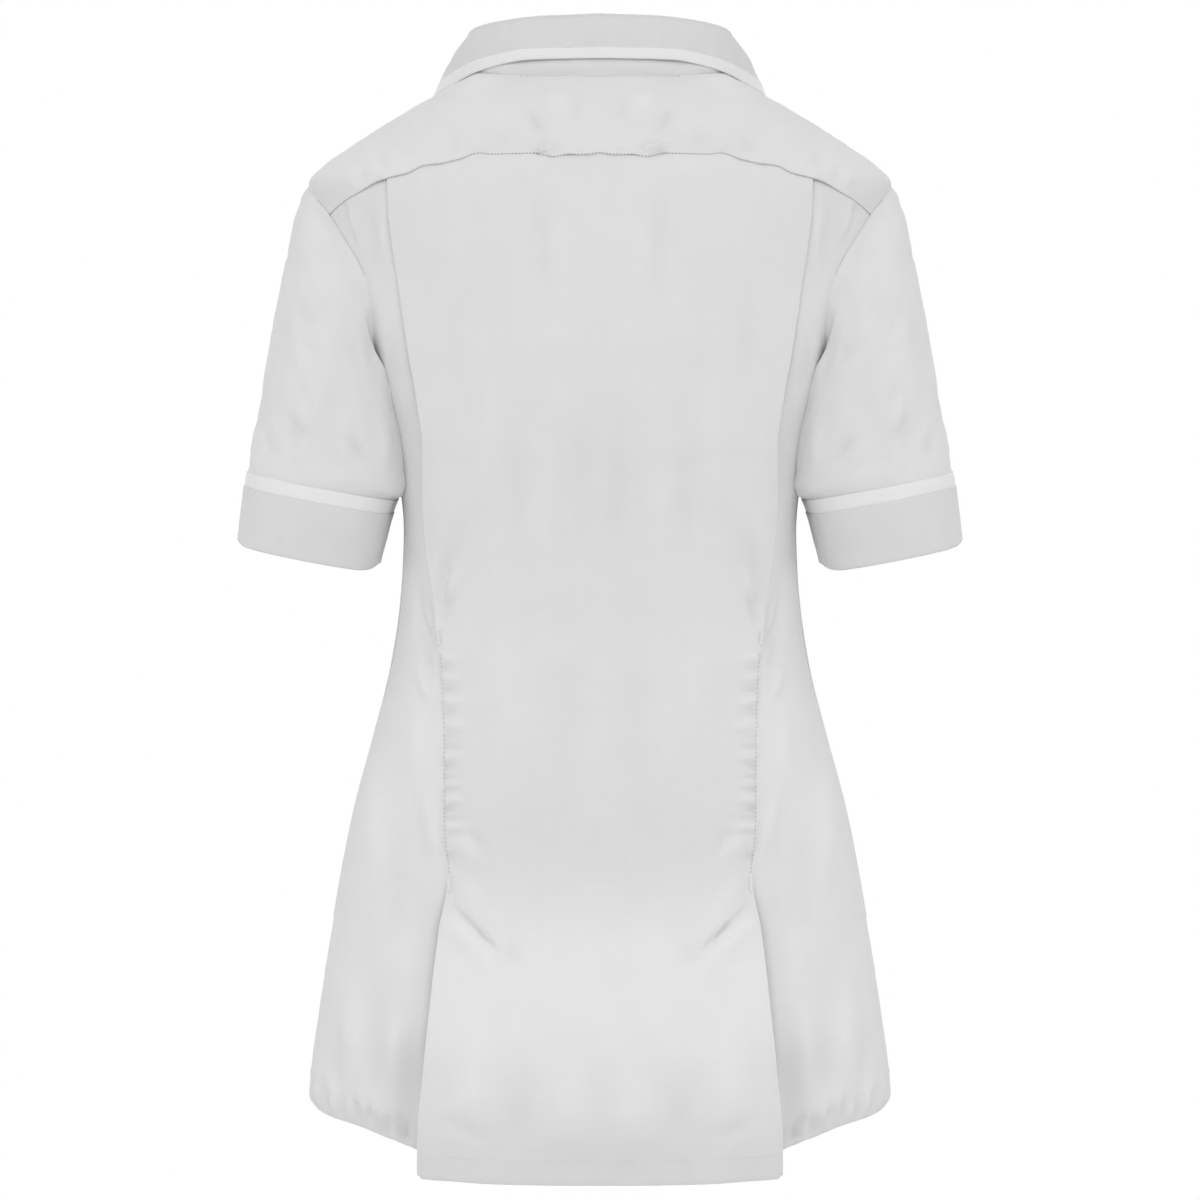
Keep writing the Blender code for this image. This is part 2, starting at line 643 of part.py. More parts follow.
def neck_point(station):
    """Point of the neck edge: round the back of the neck, then down the front to the gorge."""
    if station <= NECK_CORNER_STATION:
        angle = blend(90.0, neck_corner()[0], station / NECK_CORNER_STATION)
        return skin((angle, read(NECK_SEAM, "height", angle)))
    return skin(neck_edge((station - NECK_CORNER_STATION) / (1 - NECK_CORNER_STATION)))


def collar_points(station):
    """Neck edge, fold and leaf edge at a station: 0 at the centre back and 1 at the gorge."""
    fold = np.array([read(COLLAR, "fold_" + axis, station) for axis in "xyz"])
    edge = np.array([read(COLLAR, "edge_" + axis, station) for axis in "xyz"])
    rest = height_under(edge[0], edge[1]) + COLLAR_CLEARANCE
    edge[2] = max(edge[2], rest)
    return neck_point(station), fold, edge


def collar_stand(look):
    """Band that stands up from the neck seam to the fold."""
    rows = []
    for station in COLLAR_STATIONS[:-1]:
        base, fold, _ = collar_points(station)
        top = fold - np.array([0, 0, STAND_DROP])
        away = np.array([base[0], base[1], 0.0])
        away /= np.linalg.norm(away)
        rise = STAND_RISE + STAND_FRONT_RISE * station
        start = base - away * WALL / 2 + np.array([0, 0, rise])
        rows.append([blend(start, top, share) for share in STAND_SHARES])
    return sheet_object("collar_stand", rows, look, side=0.0, mirrored=True)


def leaf_point(station, share):
    """Point of the turned-down leaf, from the fold (0) to its outer edge (1)."""
    _, fold, edge = collar_points(station)
    away = edge - fold
    away[2] = 0
    away /= np.linalg.norm(away)
    crown = fold + CROWN_OUT * away - np.array([0, 0, CROWN_DROP])
    if share < CROWN_SHARE:
        return blend(fold, crown, share / CROWN_SHARE)
    down = (share - CROWN_SHARE) / (1 - CROWN_SHARE)
    bow = LEAF_BOW * math.sin(math.pi * down)
    return blend(crown, edge, down) + bow * (away + np.array([0, 0, LEAF_BOW_RISE]))


def collar_leaf(look):
    """Outer part of the collar, turned down from the fold as far as its trim."""
    shares = LEAF_SHARES + [COLLAR_TRIM_SHARE - TRIM_GAP_SHARE]
    rows = turned([[leaf_point(station, share) for share in shares] for station in COLLAR_STATIONS])
    return sheet_object("collar_leaf", rows, look, wall=COLLAR_WALL, side=0.0, mirrored=True)


def collar_trim(look):
    """Contrast band along the leaf's outer edge."""
    shares = spaced(COLLAR_TRIM_SHARE + TRIM_GAP_SHARE, 1, 2)
    rows = turned([[leaf_point(station, share) for share in shares] for station in COLLAR_STATIONS])
    return sheet_object("collar_trim", rows, look, wall=COLLAR_WALL, side=0.0, mirrored=True)


def sleeve_turns():
    """Angles round the armhole that meet the body pieces' own points along the seam."""
    turns = list(reversed(ARMHOLE_YOKE_TURNS)) + ARMHOLE_BACK_TURNS[1:]
    return turns + [360 + turn for turn in reversed(ARMHOLE_FRONT_TURNS[1:-1])]


def tube_point(table, share, turn):
    """Point of a sleeve ring. The turn is 0 outermost, 90 at the back and 180 innermost."""
    outer = np.array([read(table, "outer_x", share), 0, read(table, "outer_z", share)])
    inner = np.array([read(table, "inner_x", share), 0, read(table, "inner_z", share)])
    half_depth = read(table, "half_depth", share)
    turn = math.radians(turn)
    middle = (outer + inner) / 2
    across = (outer - inner) / 2
    return middle + across * math.cos(turn) + np.array([0, half_depth, 0]) * math.sin(turn)


def clear_of_side(point):
    """The point, moved out where it would press into the body's side."""
    least = side_x(point[1], point[2]) + SIDE_CLEARANCE
    if point[0] < least and point[2] < ARMHOLE_HEIGHT:
        return np.array([least, point[1], point[2]])
    return point


def armhole_start(turn):
    """Sleeve's first point, just outside the body pieces' edge."""
    edge = skin(armhole(turn))
    inward = skin(armhole(turn, 0.002)) - edge
    inward /= np.linalg.norm(inward)
    outward = skin(armhole(turn), 0.001) - edge
    outward /= np.linalg.norm(outward)
    return edge + inward * ARMHOLE_GAP + outward * SLEEVE_PROUD, inward


def sleeve(name, look, sign):
    """Short set-in sleeve, from the armhole to the cuff's trim."""
    turns = sleeve_turns()
    rows = []
    for share in SLEEVE_SHARES:
        row = []
        for turn in turns:
            start, inward = armhole_start(turn)
            hold = max(1 - share / ARMHOLE_HOLD, 0) ** 2
            point = tube_point(SLEEVE, share, turn) + hold * (start - tube_point(SLEEVE, 0, turn))
            if share == SLEEVE_SHARES[1]:
                head = ease((math.cos(math.radians(turn)) + CAP_SIDE) / CAP_FADE)
                point = blend(point, start + inward * CAP_EXTENSION, head)
            if share > 0:
                point = clear_of_side(point)
            row.append(point)
        rows.append(row)
    return sheet_object(name, turned(to_side(rows, sign)), look, closed=True)


def band(name, look, sign, shares):
    """Ring of the cuff between two or more shares of its depth."""
    turns = spaced(0, 360, CUFF_COLUMNS)[:-1]
    rows = [[clear_of_side(tube_point(CUFF, share, turn)) for turn in turns] for share in shares]
    return sheet_object(name, turned(to_side(rows, sign)), look, closed=True, wall=CUFF_WALL)


def closure_y(height):
    """How far forward the lapping front's flat facets reach at the middle."""
    levels = closure_heights()[::-1]
    return float(np.interp(height, levels, [skin((-90.0, level))[1] for level in levels])) - FRONT_LAP


def button(name, look, height):
    """Flat round button on the lapping front's outer face."""
    above, below = closure_y(height + BUTTON_RADIUS), closure_y(height - BUTTON_RADIUS)
    slope = (above - below) / (2 * BUTTON_RADIUS)
    y = min(closure_y(height), (above + below) / 2) - SEAM_GAP - BUTTON_THICKNESS / 2
    bpy.ops.mesh.primitive_cylinder_add(
        vertices=BUTTON_SIDES, radius=BUTTON_RADIUS, depth=BUTTON_THICKNESS,
        location=(0, y, height), rotation=(math.pi / 2 - math.atan(slope), 0, 0),
    )
    piece = bpy.context.object
    piece.name = name
    piece.data.materials.append(look)
    bevel = piece.modifiers.new("Rim", "BEVEL")
    bevel.width = BUTTON_BEVEL
    bevel.segments = 1
    bevel.limit_method = "ANGLE"
    for holder in list(piece.users_collection):
        holder.objects.unlink(piece)
    tunic.objects.link(piece)
    return piece


for old in list(bpy.data.objects):
    bpy.data.objects.remove(old)
tunic = bpy.data.collections.new("medical_tunic")
bpy.context.scene.collection.children.link(tunic)

cloth = material("white_cloth", WHITE_CLOTH, 0.85)
trim = material("trim_cloth", TRIM_CLOTH, 0.7)
plastic = material("button_white", BUTTON_WHITE, 0.35)

yoke(cloth)
centre_back(cloth)
collar_stand(cloth)
collar_leaf(cloth)
collar_trim(trim)
for side_name, side_sign in (("left", 1), ("right", -1)):
    side_back("side_back_" + side_name, cloth, side_sign)
    front("front_" + side_name, cloth, side_sign)
    rever("rever_" + side_name, cloth, side_sign)
    sleeve("sleeve_" + side_name, cloth, side_sign)
    band("cuff_trim_" + side_name, trim, side_sign, CUFF_TRIM_SHARES)
    band("cuff_" + side_name, cloth, side_sign, CUFF_SHARES)
for number, button_height in enumerate(BUTTON_HEIGHTS, 1):
    button("button_%d" % number, plastic, button_height)
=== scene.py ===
"""Looks of a medical tunic in its worn shape: cloth, trims, stitching and buttons.

Units are metres and +Z is up. The front faces -Y and the wearer's left side is at +X. The
pieces follow the same smooth skin as the solids that they stand for, with finer creases.
"""
import math
from collections import namedtuple

import bmesh
import bpy
import numpy as np
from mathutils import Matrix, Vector, noise


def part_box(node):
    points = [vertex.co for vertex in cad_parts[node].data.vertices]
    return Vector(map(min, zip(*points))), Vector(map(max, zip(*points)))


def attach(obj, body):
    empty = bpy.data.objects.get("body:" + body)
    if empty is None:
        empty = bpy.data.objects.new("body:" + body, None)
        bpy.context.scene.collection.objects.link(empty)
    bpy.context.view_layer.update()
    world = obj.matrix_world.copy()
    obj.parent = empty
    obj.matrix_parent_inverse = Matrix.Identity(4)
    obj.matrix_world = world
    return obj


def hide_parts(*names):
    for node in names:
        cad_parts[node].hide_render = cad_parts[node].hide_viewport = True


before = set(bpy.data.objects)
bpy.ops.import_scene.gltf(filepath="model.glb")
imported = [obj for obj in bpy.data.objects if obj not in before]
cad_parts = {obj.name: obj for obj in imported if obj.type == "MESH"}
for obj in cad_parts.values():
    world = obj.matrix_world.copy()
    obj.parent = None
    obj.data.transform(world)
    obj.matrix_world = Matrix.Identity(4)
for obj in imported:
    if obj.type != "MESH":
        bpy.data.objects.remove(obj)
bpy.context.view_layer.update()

BODY = "root"
SIDES = {1: "left", -1: "right"}
NOT_LENGTHS = ("share", "station", "angle", "strongest")


def in_metres(kind, rows):
    """A table's rows, which are written in millimetres and degrees."""
    scales = [1 if field in NOT_LENGTHS else 1000 for field in kind._fields]
    return [kind(*(round(value / scale, 7) for value, scale in zip(row, scales))) for row in rows]


# --- camera, from the photograph
CAMERA_PLACE = (0.0, 2.0, -0.2332)
CAMERA_DOWN = 3.474
CAMERA_LENS = 84.0
CAMERA_SENSOR = 36.0
FLOOR_HEIGHT = -1.36
FLOOR_RADIUS = 1.6
SKY_LEVEL = 0.425
SKY_RISE = 0.365
LIGHT_DEPTH = 1.75
LIGHT_HEIGHT = 0.32
LIGHT_SIZE = (4.4, 0.7)
LIGHT_POWER = 15.9
FLOOR_COLOUR = (0.52, 0.52, 0.52, 1.0)
SIDE_LIGHT_PLACE = (1.9, 0.45, -0.25)
SIDE_LIGHT_SIZE = (1.2, 1.0)
SIDE_LIGHT_POWER = 4.5

# --- the worn shape, as the solids
Ring = namedtuple("Ring", "height half_width back_depth front_depth")
RINGS = in_metres(Ring, [
    (-740, 212.5, 119.5, 146), (-709.7, 210.2, 119, 144.5), (-680.4, 207.1, 118, 142),
    (-622, 198.1, 116, 137), (-563.8, 188, 113, 131), (-505.9, 176.2, 108, 124),
    (-448.1, 160.5, 97.5, 113), (-404.9, 149.5, 89, 105), (-361.8, 142.5, 83.5, 100),
    (-333.1, 140, 84, 101), (-304.5, 139, 87.5, 107), (-275.9, 141.1, 93.5, 116),
    (-240, 147, 101, 126), (-200, 156, 109, 132), (-170, 165, 112.5, 130),
    (-119.5, 179.6, 112.5, 116), (-83, 196, 110, 101), (-60.5, 205.4, 107, 90.5),
    (-49.2, 195.7, 104, 84), (-35.1, 176.3, 99, 75), (-21.1, 154.3, 93.5, 65),
    (-7.5, 131.2, 86, 54), (-0.5, 118.4, 81.5, 48.5), (14.2, 96.5, 74.5, 37),
])
SQUARENESS = 2.4
SHOULDER_TIP = -0.0605

ARMHOLE_HEIGHT = -0.130
ARMHOLE_HALF_HEIGHT = 0.070
ARMHOLE_HALF_DEPTH = 0.057
UNDERARM = ARMHOLE_HEIGHT - ARMHOLE_HALF_HEIGHT
ARMHOLE_LINE = (34.0, 88.0)
BACK_SEAM_TURN = 47.8
FRONT_SEAM_TURN = -24.0

# The yoke's back seam in full: it waves a little where the stitching gathers the cloth
SeamPoint = namedtuple("SeamPoint", "x height")
YOKE_SEAM = in_metres(SeamPoint, [
    (0, -46.2), (8.7, -47.5), (22.2, -47.5), (31.2, -49), (43.5, -46.4), (73.8, -46.8),
    (80.5, -45.7), (94, -49.9), (105.3, -52.6), (119.1, -54.2), (129.9, -58.9), (135.6, -60),
    (150.2, -63.3), (164.8, -70.5), (173.8, -74.5), (187.6, -83),
])
FRONT_YOKE_Y = ARMHOLE_HALF_DEPTH * math.sin(math.radians(FRONT_SEAM_TURN))
NeckPoint = namedtuple("NeckPoint", "angle height")
NECK_SEAM = in_metres(NeckPoint, [
    (-34, 11.2), (0, 13.8), (35, 11), (62, 9), (90, 8.4),
])
NECK_FRONT_HEIGHT = NECK_SEAM[0].height

# Fold of the centre back: its half width, how far it stands off, and how deep the side lies
PleatRow = namedtuple("PleatRow", "height half_width stand_off recess")
PLEAT = in_metres(PleatRow, [
    (-736.2, 123.2, 37, 4.5), (-705.5, 122.4, 41.4, 4.5), (-657.7, 117.8, 36, 4.5),
    (-625, 114, 25.5, 4.5), (-590, 111, 12, 4.2), (-570, 109, 4.5, 3.6), (-550, 105.4, 0.4, 2.6),
    (-539.5, 104.8, 0, 1.8), (-510.8, 108, 0, 1.8), (-467, 108.6, 0, 1.8), (-437.6, 109.1, 0, 1.8),
    (-401.2, 111, 0, 1.8), (-381.2, 112.9, 0, 1.8), (-342.1, 117.4, 0, 1.8), (-314.3, 121, 0, 1.8),
    (-286.7, 122.1, 0, 2.5), (-258.9, 121.6, 0.6, 3.4), (-242.5, 120.9, 2, 4.2),
    (-213.2, 124.1, 3, 4.4), (-176.8, 130.4, 2.4, 4), (-130.1, 137.6, 1.2, 3.4),
    (-104.6, 141.6, 0.5, 2.8), (-83.4, 143.8, 0.1, 2.4), (-60, 144.1, 0, 2.2),
])
PLEAT_RETURN = 0.024
FOLD_RADIUS = 0.0008
RECESS_FADE = 0.024
LEDGE = 0.003
UNDER_FOLD = 0.0035
SLEEVE_PUSH = 0.0090
KICK_FOLLOW = 0.55

SIDE_BACK_HEM = in_metres(SeamPoint, [
    (90, -729), (126.1, -725.7), (141.5, -720.9), (151.5, -718.7), (161, -716.7), (170.7, -715.2),
    (180.6, -714.2), (192.3, -713.5), (206.4, -711.9), (212, -710),
])
FRONT_HEM = in_metres(SeamPoint, [
    (-20, -729), (100, -725), (190, -715), (212, -710),
])
CENTRE_HEM_HEIGHT = -0.7374
CENTRE_HEM_RISE = 0.0008
HEM_CORNER, HEM_CORNER_RISE = 0.975, 0.0024
HEM_DEPTH = 0.0175
HEM_RADIUS = 0.0008

GORGE = SeamPoint(0.0700, -0.0200)
ROLL_SLOPE = 1.545
OVERLAP = 0.016
FRONT_LAP = 0.0019
FRONT_LAP_TOP = -0.060
LAP_FULL_SHARE = 0.135
LAP_NONE_SHARE = 0.25
BREAK_HEIGHT = GORGE.height - (GORGE.x + OVERLAP) * ROLL_SLOPE

REVER_TIP_ALONG = 0.81
REVER_TIP_OUT = 0.060
REVER_FOOT_OUT = 0.004
REVER_FOOT_X = {1: 0.004, -1: -0.010}
REVER_CUT = {1: (0.072, 0.133, 0.0044), -1: (0.074, 0.160, 0.0053)}

CollarRow = namedtuple("CollarRow", "station fold_x fold_y fold_z edge_x edge_y edge_z")
COLLAR = in_metres(CollarRow, [
    (0, 0, 72.2, 49.1, 0, 83, 19.4), (0.2, 42, 67.7, 48, 46.1, 78.4, 19),
    (0.38, 72.2, 48, 46.5, 80.2, 57.8, 14.8), (0.5, 86.2, 25.4, 45.2, 100.6, 33.5, 8.5),
    (0.6, 89.6, 2, 43.6, 116, 6, 1.5), (0.72, 84.5, -20, 35.5, 118.5, -23, -10),
    (0.86, 79.5, -40, 18, 111, -48, -20), (1, 70, -65.5, -15, 98, -70, -35),
])
NECK_CORNER_STATION = 0.74
NECK_STITCHES = 0.056
COLLAR_CLEARANCE = 0.0008
COLLAR_TRIM_SHARE = 0.80

SleeveRow = namedtuple("SleeveRow", "share outer_x outer_z inner_x inner_z half_depth")
SLEEVE = in_metres(SleeveRow, [
    (0, 206.5, -60, 156, -200, 57), (0.05, 210.4, -65.5, 153, -202.2, 60),
    (0.16, 215, -79, 144.5, -207, 65), (0.34, 224, -119, 137, -218, 69),
    (0.54, 232.5, -164, 133.5, -233, 70), (0.72, 240.5, -207, 132.5, -249, 69),
    (0.88, 247, -243, 134, -265, 67), (1, 250.6, -262.6, 145, -282.4, 65),
])
CUFF = in_metres(SleeveRow, [
    (0, 250.6, -262.6, 145, -282.4, 65), (0.18, 251.8, -270.8, 148, -290.2, 64.6),
    (1, 258, -312.8, 159.8, -331.6, 59),
])
INNER_SQUARENESS = 3.0
CUFF_CORNER = 0.085
CUFF_TRIM_SHARE = 0.22
SIDE_CLEARANCE = 0.0006

BUTTON_HEIGHTS = [-0.172, -0.272, -0.372, -0.472, -0.572]

# --- cloth thicknesses
CLOTH = 0.0006
DOUBLE_CLOTH = 0.0010
YOKE_LIFT = 0.0005
TUCK_DEPTH = 0.0016

# --- creases
CREASE_STRENGTH = 2.3
FRONT_CREASE_STRENGTH = 1.4
PUCKER_STRENGTH = 2.3
MOTTLE_STRENGTH = 1.9
# Painted shade and highlight: the cloth's colour darkens by this share for each metre that it lies
# low in a crease, and lightens where it stands out, as far as the greatest relief that counts
CREASE_PAINTED_SHADE = 13.0
GREATEST_PAINTED_RELIEF = 0.003
# Each runs from one place to another, in x and z, and strongest says where along it is deepest
Crease = namedtuple("Crease", "x0 z0 x1 z1 half_width lift strongest bend")
CENTRE_CREASES = in_metres(Crease, [
    # pulled towards the upper bartack
    (112.5, -370, 92.4, -332.6, 3, -1.7, 0.2, 1.5), (113.8, -369, 99.2, -294.8, 4, -1.6, 0.25, 3),
    (106.6, -356, 96.6, -321, 4, 1, 0.35, 1), (112, -360, 83, -280, 8, -0.9, 0.4, 4),
    # above and below the lower bartack
    (105, -521, 97.5, -540, 3.5, -1.2, 0.3, 0), (100, -508.5, 80, -536, 6, 1.3, 0.4, 1),
    (93, -505, 74, -533, 4.5, -0.8, 0.4, 1), (100, -535, 66, -574, 5, 1, 0.45, -2),
    (107.4, -550, 63.6, -590, 1.6, -1.9, 0.62, -1.2), (109, -564, 66, -603, 6, 2.4, 0.45, -1.2),
    (109.5, -564, 70, -598, 8, 1.4, 0.35, -1), (93, -576, 76, -601, 3, -0.7, 0.5, 0),
    (68, -585, 48, -596, 6, -0.7, 0.35, 0),
    # soft upright streaks
    (43.4, -62, 32.1, -170, 7, -0.9, 0.45, 1), (29.3, -72, 26.7, -166, 6, 0.7, 0.45, 0),
    (99.8, -125, 99, -220, 7.5, -0.9, 0.55, 0), (13.9, -190, 11.3, -340, 6, -0.7, 0.5, 0.5),
    (38.2, -200, 39, -360, 7.5, 0.9, 0.5, 0), (74, -185, 74.5, -300, 7.5, 0.7, 0.5, 0),
    (56, -230, 59, -330, 6.5, -0.7, 0.5, 1), (22, -370, 25, -520, 11, -0.9, 0.5, 1),
    (68, -360, 64, -470, 11, 0.9, 0.5, 0),
    # the kick panel
    (80, -620, 90, -720, 12, 1.4, 0.5, 1), (56, -650, 52, -725, 10, -1.2, 0.6, 0),
    (25, -640, 20, -720, 12, 1, 0.6, 1), (113, -690, 70, -712, 6, -0.7, 0.5, 1),
])
SIDE_BACK_CREASES = in_metres(Crease, [
    # pulled towards the upper bartack
    (115, -374, 123.5, -341.5, 2.8, -1.4, 0.2, 1), (116.5, -390, 129.6, -334, 3.6, -1.5, 0.3, 2),
    (118.5, -376, 126.2, -345, 2.4, 1.2, 0.35, 1), (116, -406, 129, -366, 3, -1, 0.35, 1),
    (116, -425, 130, -390, 3, 0.9, 0.35, 1), (115, -410, 133.5, -300, 7, -0.9, 0.45, 0),
    (130, -410, 124, -490, 7, 1, 0.5, 0),
    # beside the lower bartack
    (121.5, -478, 111.8, -539, 5, 1.3, 0.5, 1), (129, -475, 118, -548, 4.5, -0.8, 0.5, 1),
    # upright folds of the skirt
    (157.5, -445, 156, -570, 8.5, 1.4, 0.5, 0), (142, -495, 140, -600, 8, -1, 0.5, 1),
    (130, -600, 126.2, -730, 15, -2, 0.85, 1), (170, -590, 170.5, -695, 8.5, 1.6, 0.6, 0),
    (155.5, -635, 155.7, -700, 6.5, -1.4, 0.6, 0), (140.5, -615, 142, -690, 6, 1.5, 0.55, 0),
    (185, -630, 187, -705, 7, -1.2, 0.6, 0),
    # above the pleat, beside the sleeve
    (177.2, -72, 165.5, -115, 1.7, -1.5, 0.4, -1.2), (173, -80, 169, -105, 3, 0.8, 0.45, 0),
    (160.5, -68, 153, -145, 4.5, -1, 0.35, 1), (150.5, -75, 148, -140, 3.2, 0.7, 0.4, 1),
    (147, -150, 140, -220, 5, -0.9, 0.55, 1),
])
YOKE_CREASES = in_metres(Crease, [
    (53, -12, 37, -40, 4, -1.7, 0.5, 1), (33, -2, 18, -31, 4.2, 1.8, 0.35, 1),
    (25, -5, 13, -30, 4, -1, 0.45, 1), (43, -34, 40.5, -52, 2, 0.9, 0.6, 0),
    (39, -31, 36.5, -52, 2, -0.9, 0.6, 0), (34.5, -34, 33, -52, 1.8, 0.9, 0.6, 0),
    (29.5, -36, 28.5, -52, 2, -0.7, 0.6, 0), (21, -42, 20.5, -49, 2, 0.6, 0.7, 0),
    (13, -43, 12.5, -48, 2, -0.5, 0.7, 0), (70, -25, 66, -48, 4, -0.7, 0.7, 0.5),
    (86, -30, 85, -47, 3.5, 0.6, 0.7, 0), (98, -28, 99, -50, 3.5, -0.7, 0.7, 0),
    (137.4, -21.3, 126.6, -40, 5.5, -0.3, 0.5, 0.5), (129, -20, 120, -37, 5.5, 0.3, 0.5, 0.5),
    (152, -35, 145, -60, 4, -0.8, 0.6, 0.5), (166, -48, 160, -68, 3.5, -0.8, 0.65, 0.5),
    (174, -52, 168, -70, 3, 0.7, 0.6, 0.5),
])
SLEEVE_BACK_CREASES = in_metres(Crease, [
    (214, -208, 211, -256, 4.5, -1, 0.55, 1.5), (206, -224, 201, -250, 3.5, -0.8, 0.5, 0),
    (208, -205, 204, -248, 4, 0.8, 0.5, 1), (174, -235, 164, -260, 4, -1, 0.5, 0),
    (180, -238, 170, -262, 3.5, 0.8, 0.5, 0), (231, -233, 229.5, -256, 3.5, -0.8, 0.55, 0),
    (190, -200, 180, -226, 4.5, -0.7, 0.5, 0), (196, -135, 184, -162, 5, -0.7, 0.5, 1),
    (209, -145, 200, -170, 4.5, -0.6, 0.5, 0), (174, -170, 165, -195, 4.5, -0.8, 0.5, 1),
    (160, -148, 156, -205, 5, -1, 0.5, 1), (150, -210, 150, -270, 5, 1.2, 0.6, 1),
])
SLEEVE_FRONT_CREASES = in_metres(Crease, [
    (165, -150, 190, -210, 6, -1.4, 0.3, 2), (160, -175, 182, -240, 5.5, 1.2, 0.3, 2),
    (155, -190, 172, -255, 5.5, -1.2, 0.3, 1), (210, -130, 206, -175, 7, -0.7, 0.5, 1),
    (217, -210, 215, -255, 5, -0.9, 0.55, 1), (200, -220, 196, -258, 4.5, 0.8, 0.55, 0),
    (180, -230, 179, -260, 4, -0.8, 0.55, 0),
])
# The front isn't symmetric: x runs to both sides
FRONT_CREASES = in_metres(Crease, [
    # from the armholes towards the bust
    (156, -156, 118, -195, 6, -1.4, 0.3, 2), (158, -175, 125, -220, 5.5, -1.3, 0.3, 1),
    (150, -162, 120, -202, 5, 1, 0.35, 1), (-155, -150, -120, -186, 6, -1.5, 0.3, -2),
    (-159, -181, -124, -225, 5, -1.2, 0.3, -1),
    # at the waist, from the side seams
    (138, -325, 80, -308, 6, -1.6, 0.3, 2), (139, -342, 90, -348, 5.5, -1.4, 0.3, -2),
    (138, -334, 95, -329, 5, 1.2, 0.3, 0), (-138, -318, -86, -300, 6, -1.5, 0.3, -2),
    (-139, -338, -78, -344, 6, -1.6, 0.3, 2), (-140, -360, -100, -376, 5, -1, 0.3, 1),
    # from the bust down and in
    (86, -225, 54, -305, 9, -1.4, 0.5, 4), (-88, -230, -60, -315, 9, -1.4, 0.5, -4),
    # between the buttons
    (20, -223, 72, -212, 5, -0.9, 0.3, 1), (-22, -218, -70, -228, 5, -0.9, 0.3, 1),
    (20, -326, 60, -334, 4.5, -1, 0.3, 1), (-20, -322, -56, -312, 4.5, -1, 0.3, 1),
    # folds of the skirt
    (130, -410, 148, -700, 13, 4, 0.7, 6), (102, -440, 112, -710, 12, -3.6, 0.7, 4),
    (70, -480, 76, -720, 12, 2.6, 0.7, 2), (170, -520, 182, -705, 12, -2.6, 0.7, 2),
    (-126, -400, -144, -700, 13, 3.8, 0.7, -6), (-100, -450, -106, -710, 12.5, -3.4, 0.7, -3),
    (-68, -500, -70, -720, 11, 2.2, 0.7, 2), (-168, -510, -178, -705, 12, -2.8, 0.7, -2),
    (40, -560, 44, -720, 10, -1.4, 0.65, 1), (-38, -540, -40, -720, 10, -1.2, 0.65, 1),
])

# Puckers beside the sewn part of the pleat: height, how far in they reach, and lift
Pucker = namedtuple("Pucker", "z reach lift")
PLEAT_PUCKERS = in_metres(Pucker, [
    (-391.1, 19, 1.1), (-398.5, 13, -1), (-404.9, 18, 1.2), (-413.2, 17, -1.2), (-420.8, 20, 1.3),
    (-428.5, 14, -1), (-437.4, 22, 1.2), (-445, 11, -0.6), (-451.3, 18, -1), (-458, 19, 0.9),
    (-464.8, 12, -1.1), (-471.6, 15, -1), (-476, 17, 0.9), (-480.5, 16, -1), (-487, 20, 0.9),
    (-494.3, 12, -1.2), (-500.5, 21, -1), (-506, 24, 1),
])
PUCKER_HALF_HEIGHT = 0.0024

# Puckers of the hem's stitching: distance from the middle, lean and lift
HemPucker = namedtuple("HemPucker", "x lean lift")
HEM_PUCKERS = in_metres(HemPucker, [
    (130, 1, 0.7), (135.2, 1.8, -0.8), (141.5, 1.4, 0.8), (147, 2.2, -0.9), (152.5, 1, 0.9),
    (157.2, 1.6, -1), (163.6, 2, 0.8), (169, 1.2, -0.8), (175.2, 1.6, 0.7), (180.8, 0.8, -0.7),
    (188, 1.2, 0.6), (194.4, 1, -0.6), (201, 0.6, 0.5),
])
HEM_PUCKER_HEIGHT = 0.0110
HEM_PUCKER_STRENGTH = 3.6
HEM_TURN = 0.0030

# Broad rises and dips of the centre panel, by height
Swell = namedtuple("Swell", "height lift")
SWELLS = in_metres(Swell, [
    (-740, -2), (-715, -2.4), (-685, -0.8), (-655, 1), (-620, 2.1), (-595, 1.6), (-560, -1),
    (-500, -1.8), (-420, -1.7), (-360, -0.6), (-300, 0.6), (-240, 1.5), (-180, 0.6), (-130, 0),
    (0, 0),
])


# --- curves and the skin
def curve(knots, values, at):
    """Smooth curve through a table's values that doesn't overshoot between its rows."""
    knots, values = np.asarray(knots, float), np.asarray(values, float)
    steps = np.diff(knots)
    slopes = np.diff(values) / steps
    tangents = np.zeros_like(values)
    tangents[0], tangents[-1] = slopes[0], slopes[-1]
    same_way = slopes[:-1] * slopes[1:] > 0
    before, after = slopes[:-1][same_way], slopes[1:][same_way]
    tangents[1:-1][same_way] = 2 * before * after / (before + after)
    at = np.clip(at, knots[0], knots[-1])
    i = np.clip(np.searchsorted(knots, at) - 1, 0, len(steps) - 1)
    t = (at - knots[i]) / steps[i]
    start = (1 + 2 * t) * (1 - t) ** 2 * values[i] + t**2 * (3 - 2 * t) * values[i + 1]
    bend = t * (1 - t) ** 2 * tangents[i] - t**2 * (1 - t) * tangents[i + 1]
    return start + steps[i] * bend


def read(table, column, at):
    """A named column of a table, at values of its first column."""
    key = table[0]._fields[0]
    return curve([getattr(row, key) for row in table], [getattr(row, column) for row in table], at)


def blend(a, b, share):
    return a + (b - a) * share


def ease(share):
    share = np.clip(share, 0.0, 1.0)
    return share * share * (3 - 2 * share)


def bell(value, middle, half_width):
    """1 at the middle, and close to 0 from twice its half width."""
    return np.exp(-(((value - middle) / half_width) ** 2))


def signed_power(value, power):
    return np.sign(value) * np.abs(value) ** power


def unit(vectors):
    return vectors / np.maximum(np.linalg.norm(vectors, axis=-1, keepdims=True), 1e-12)


def spaced(start, end, steps):
    return np.linspace(start, end, steps + 1)


def refine(values, steps):
    at = np.linspace(0, len(values) - 1, (len(values) - 1) * steps + 1)
    return np.interp(at, np.arange(len(values)), values)


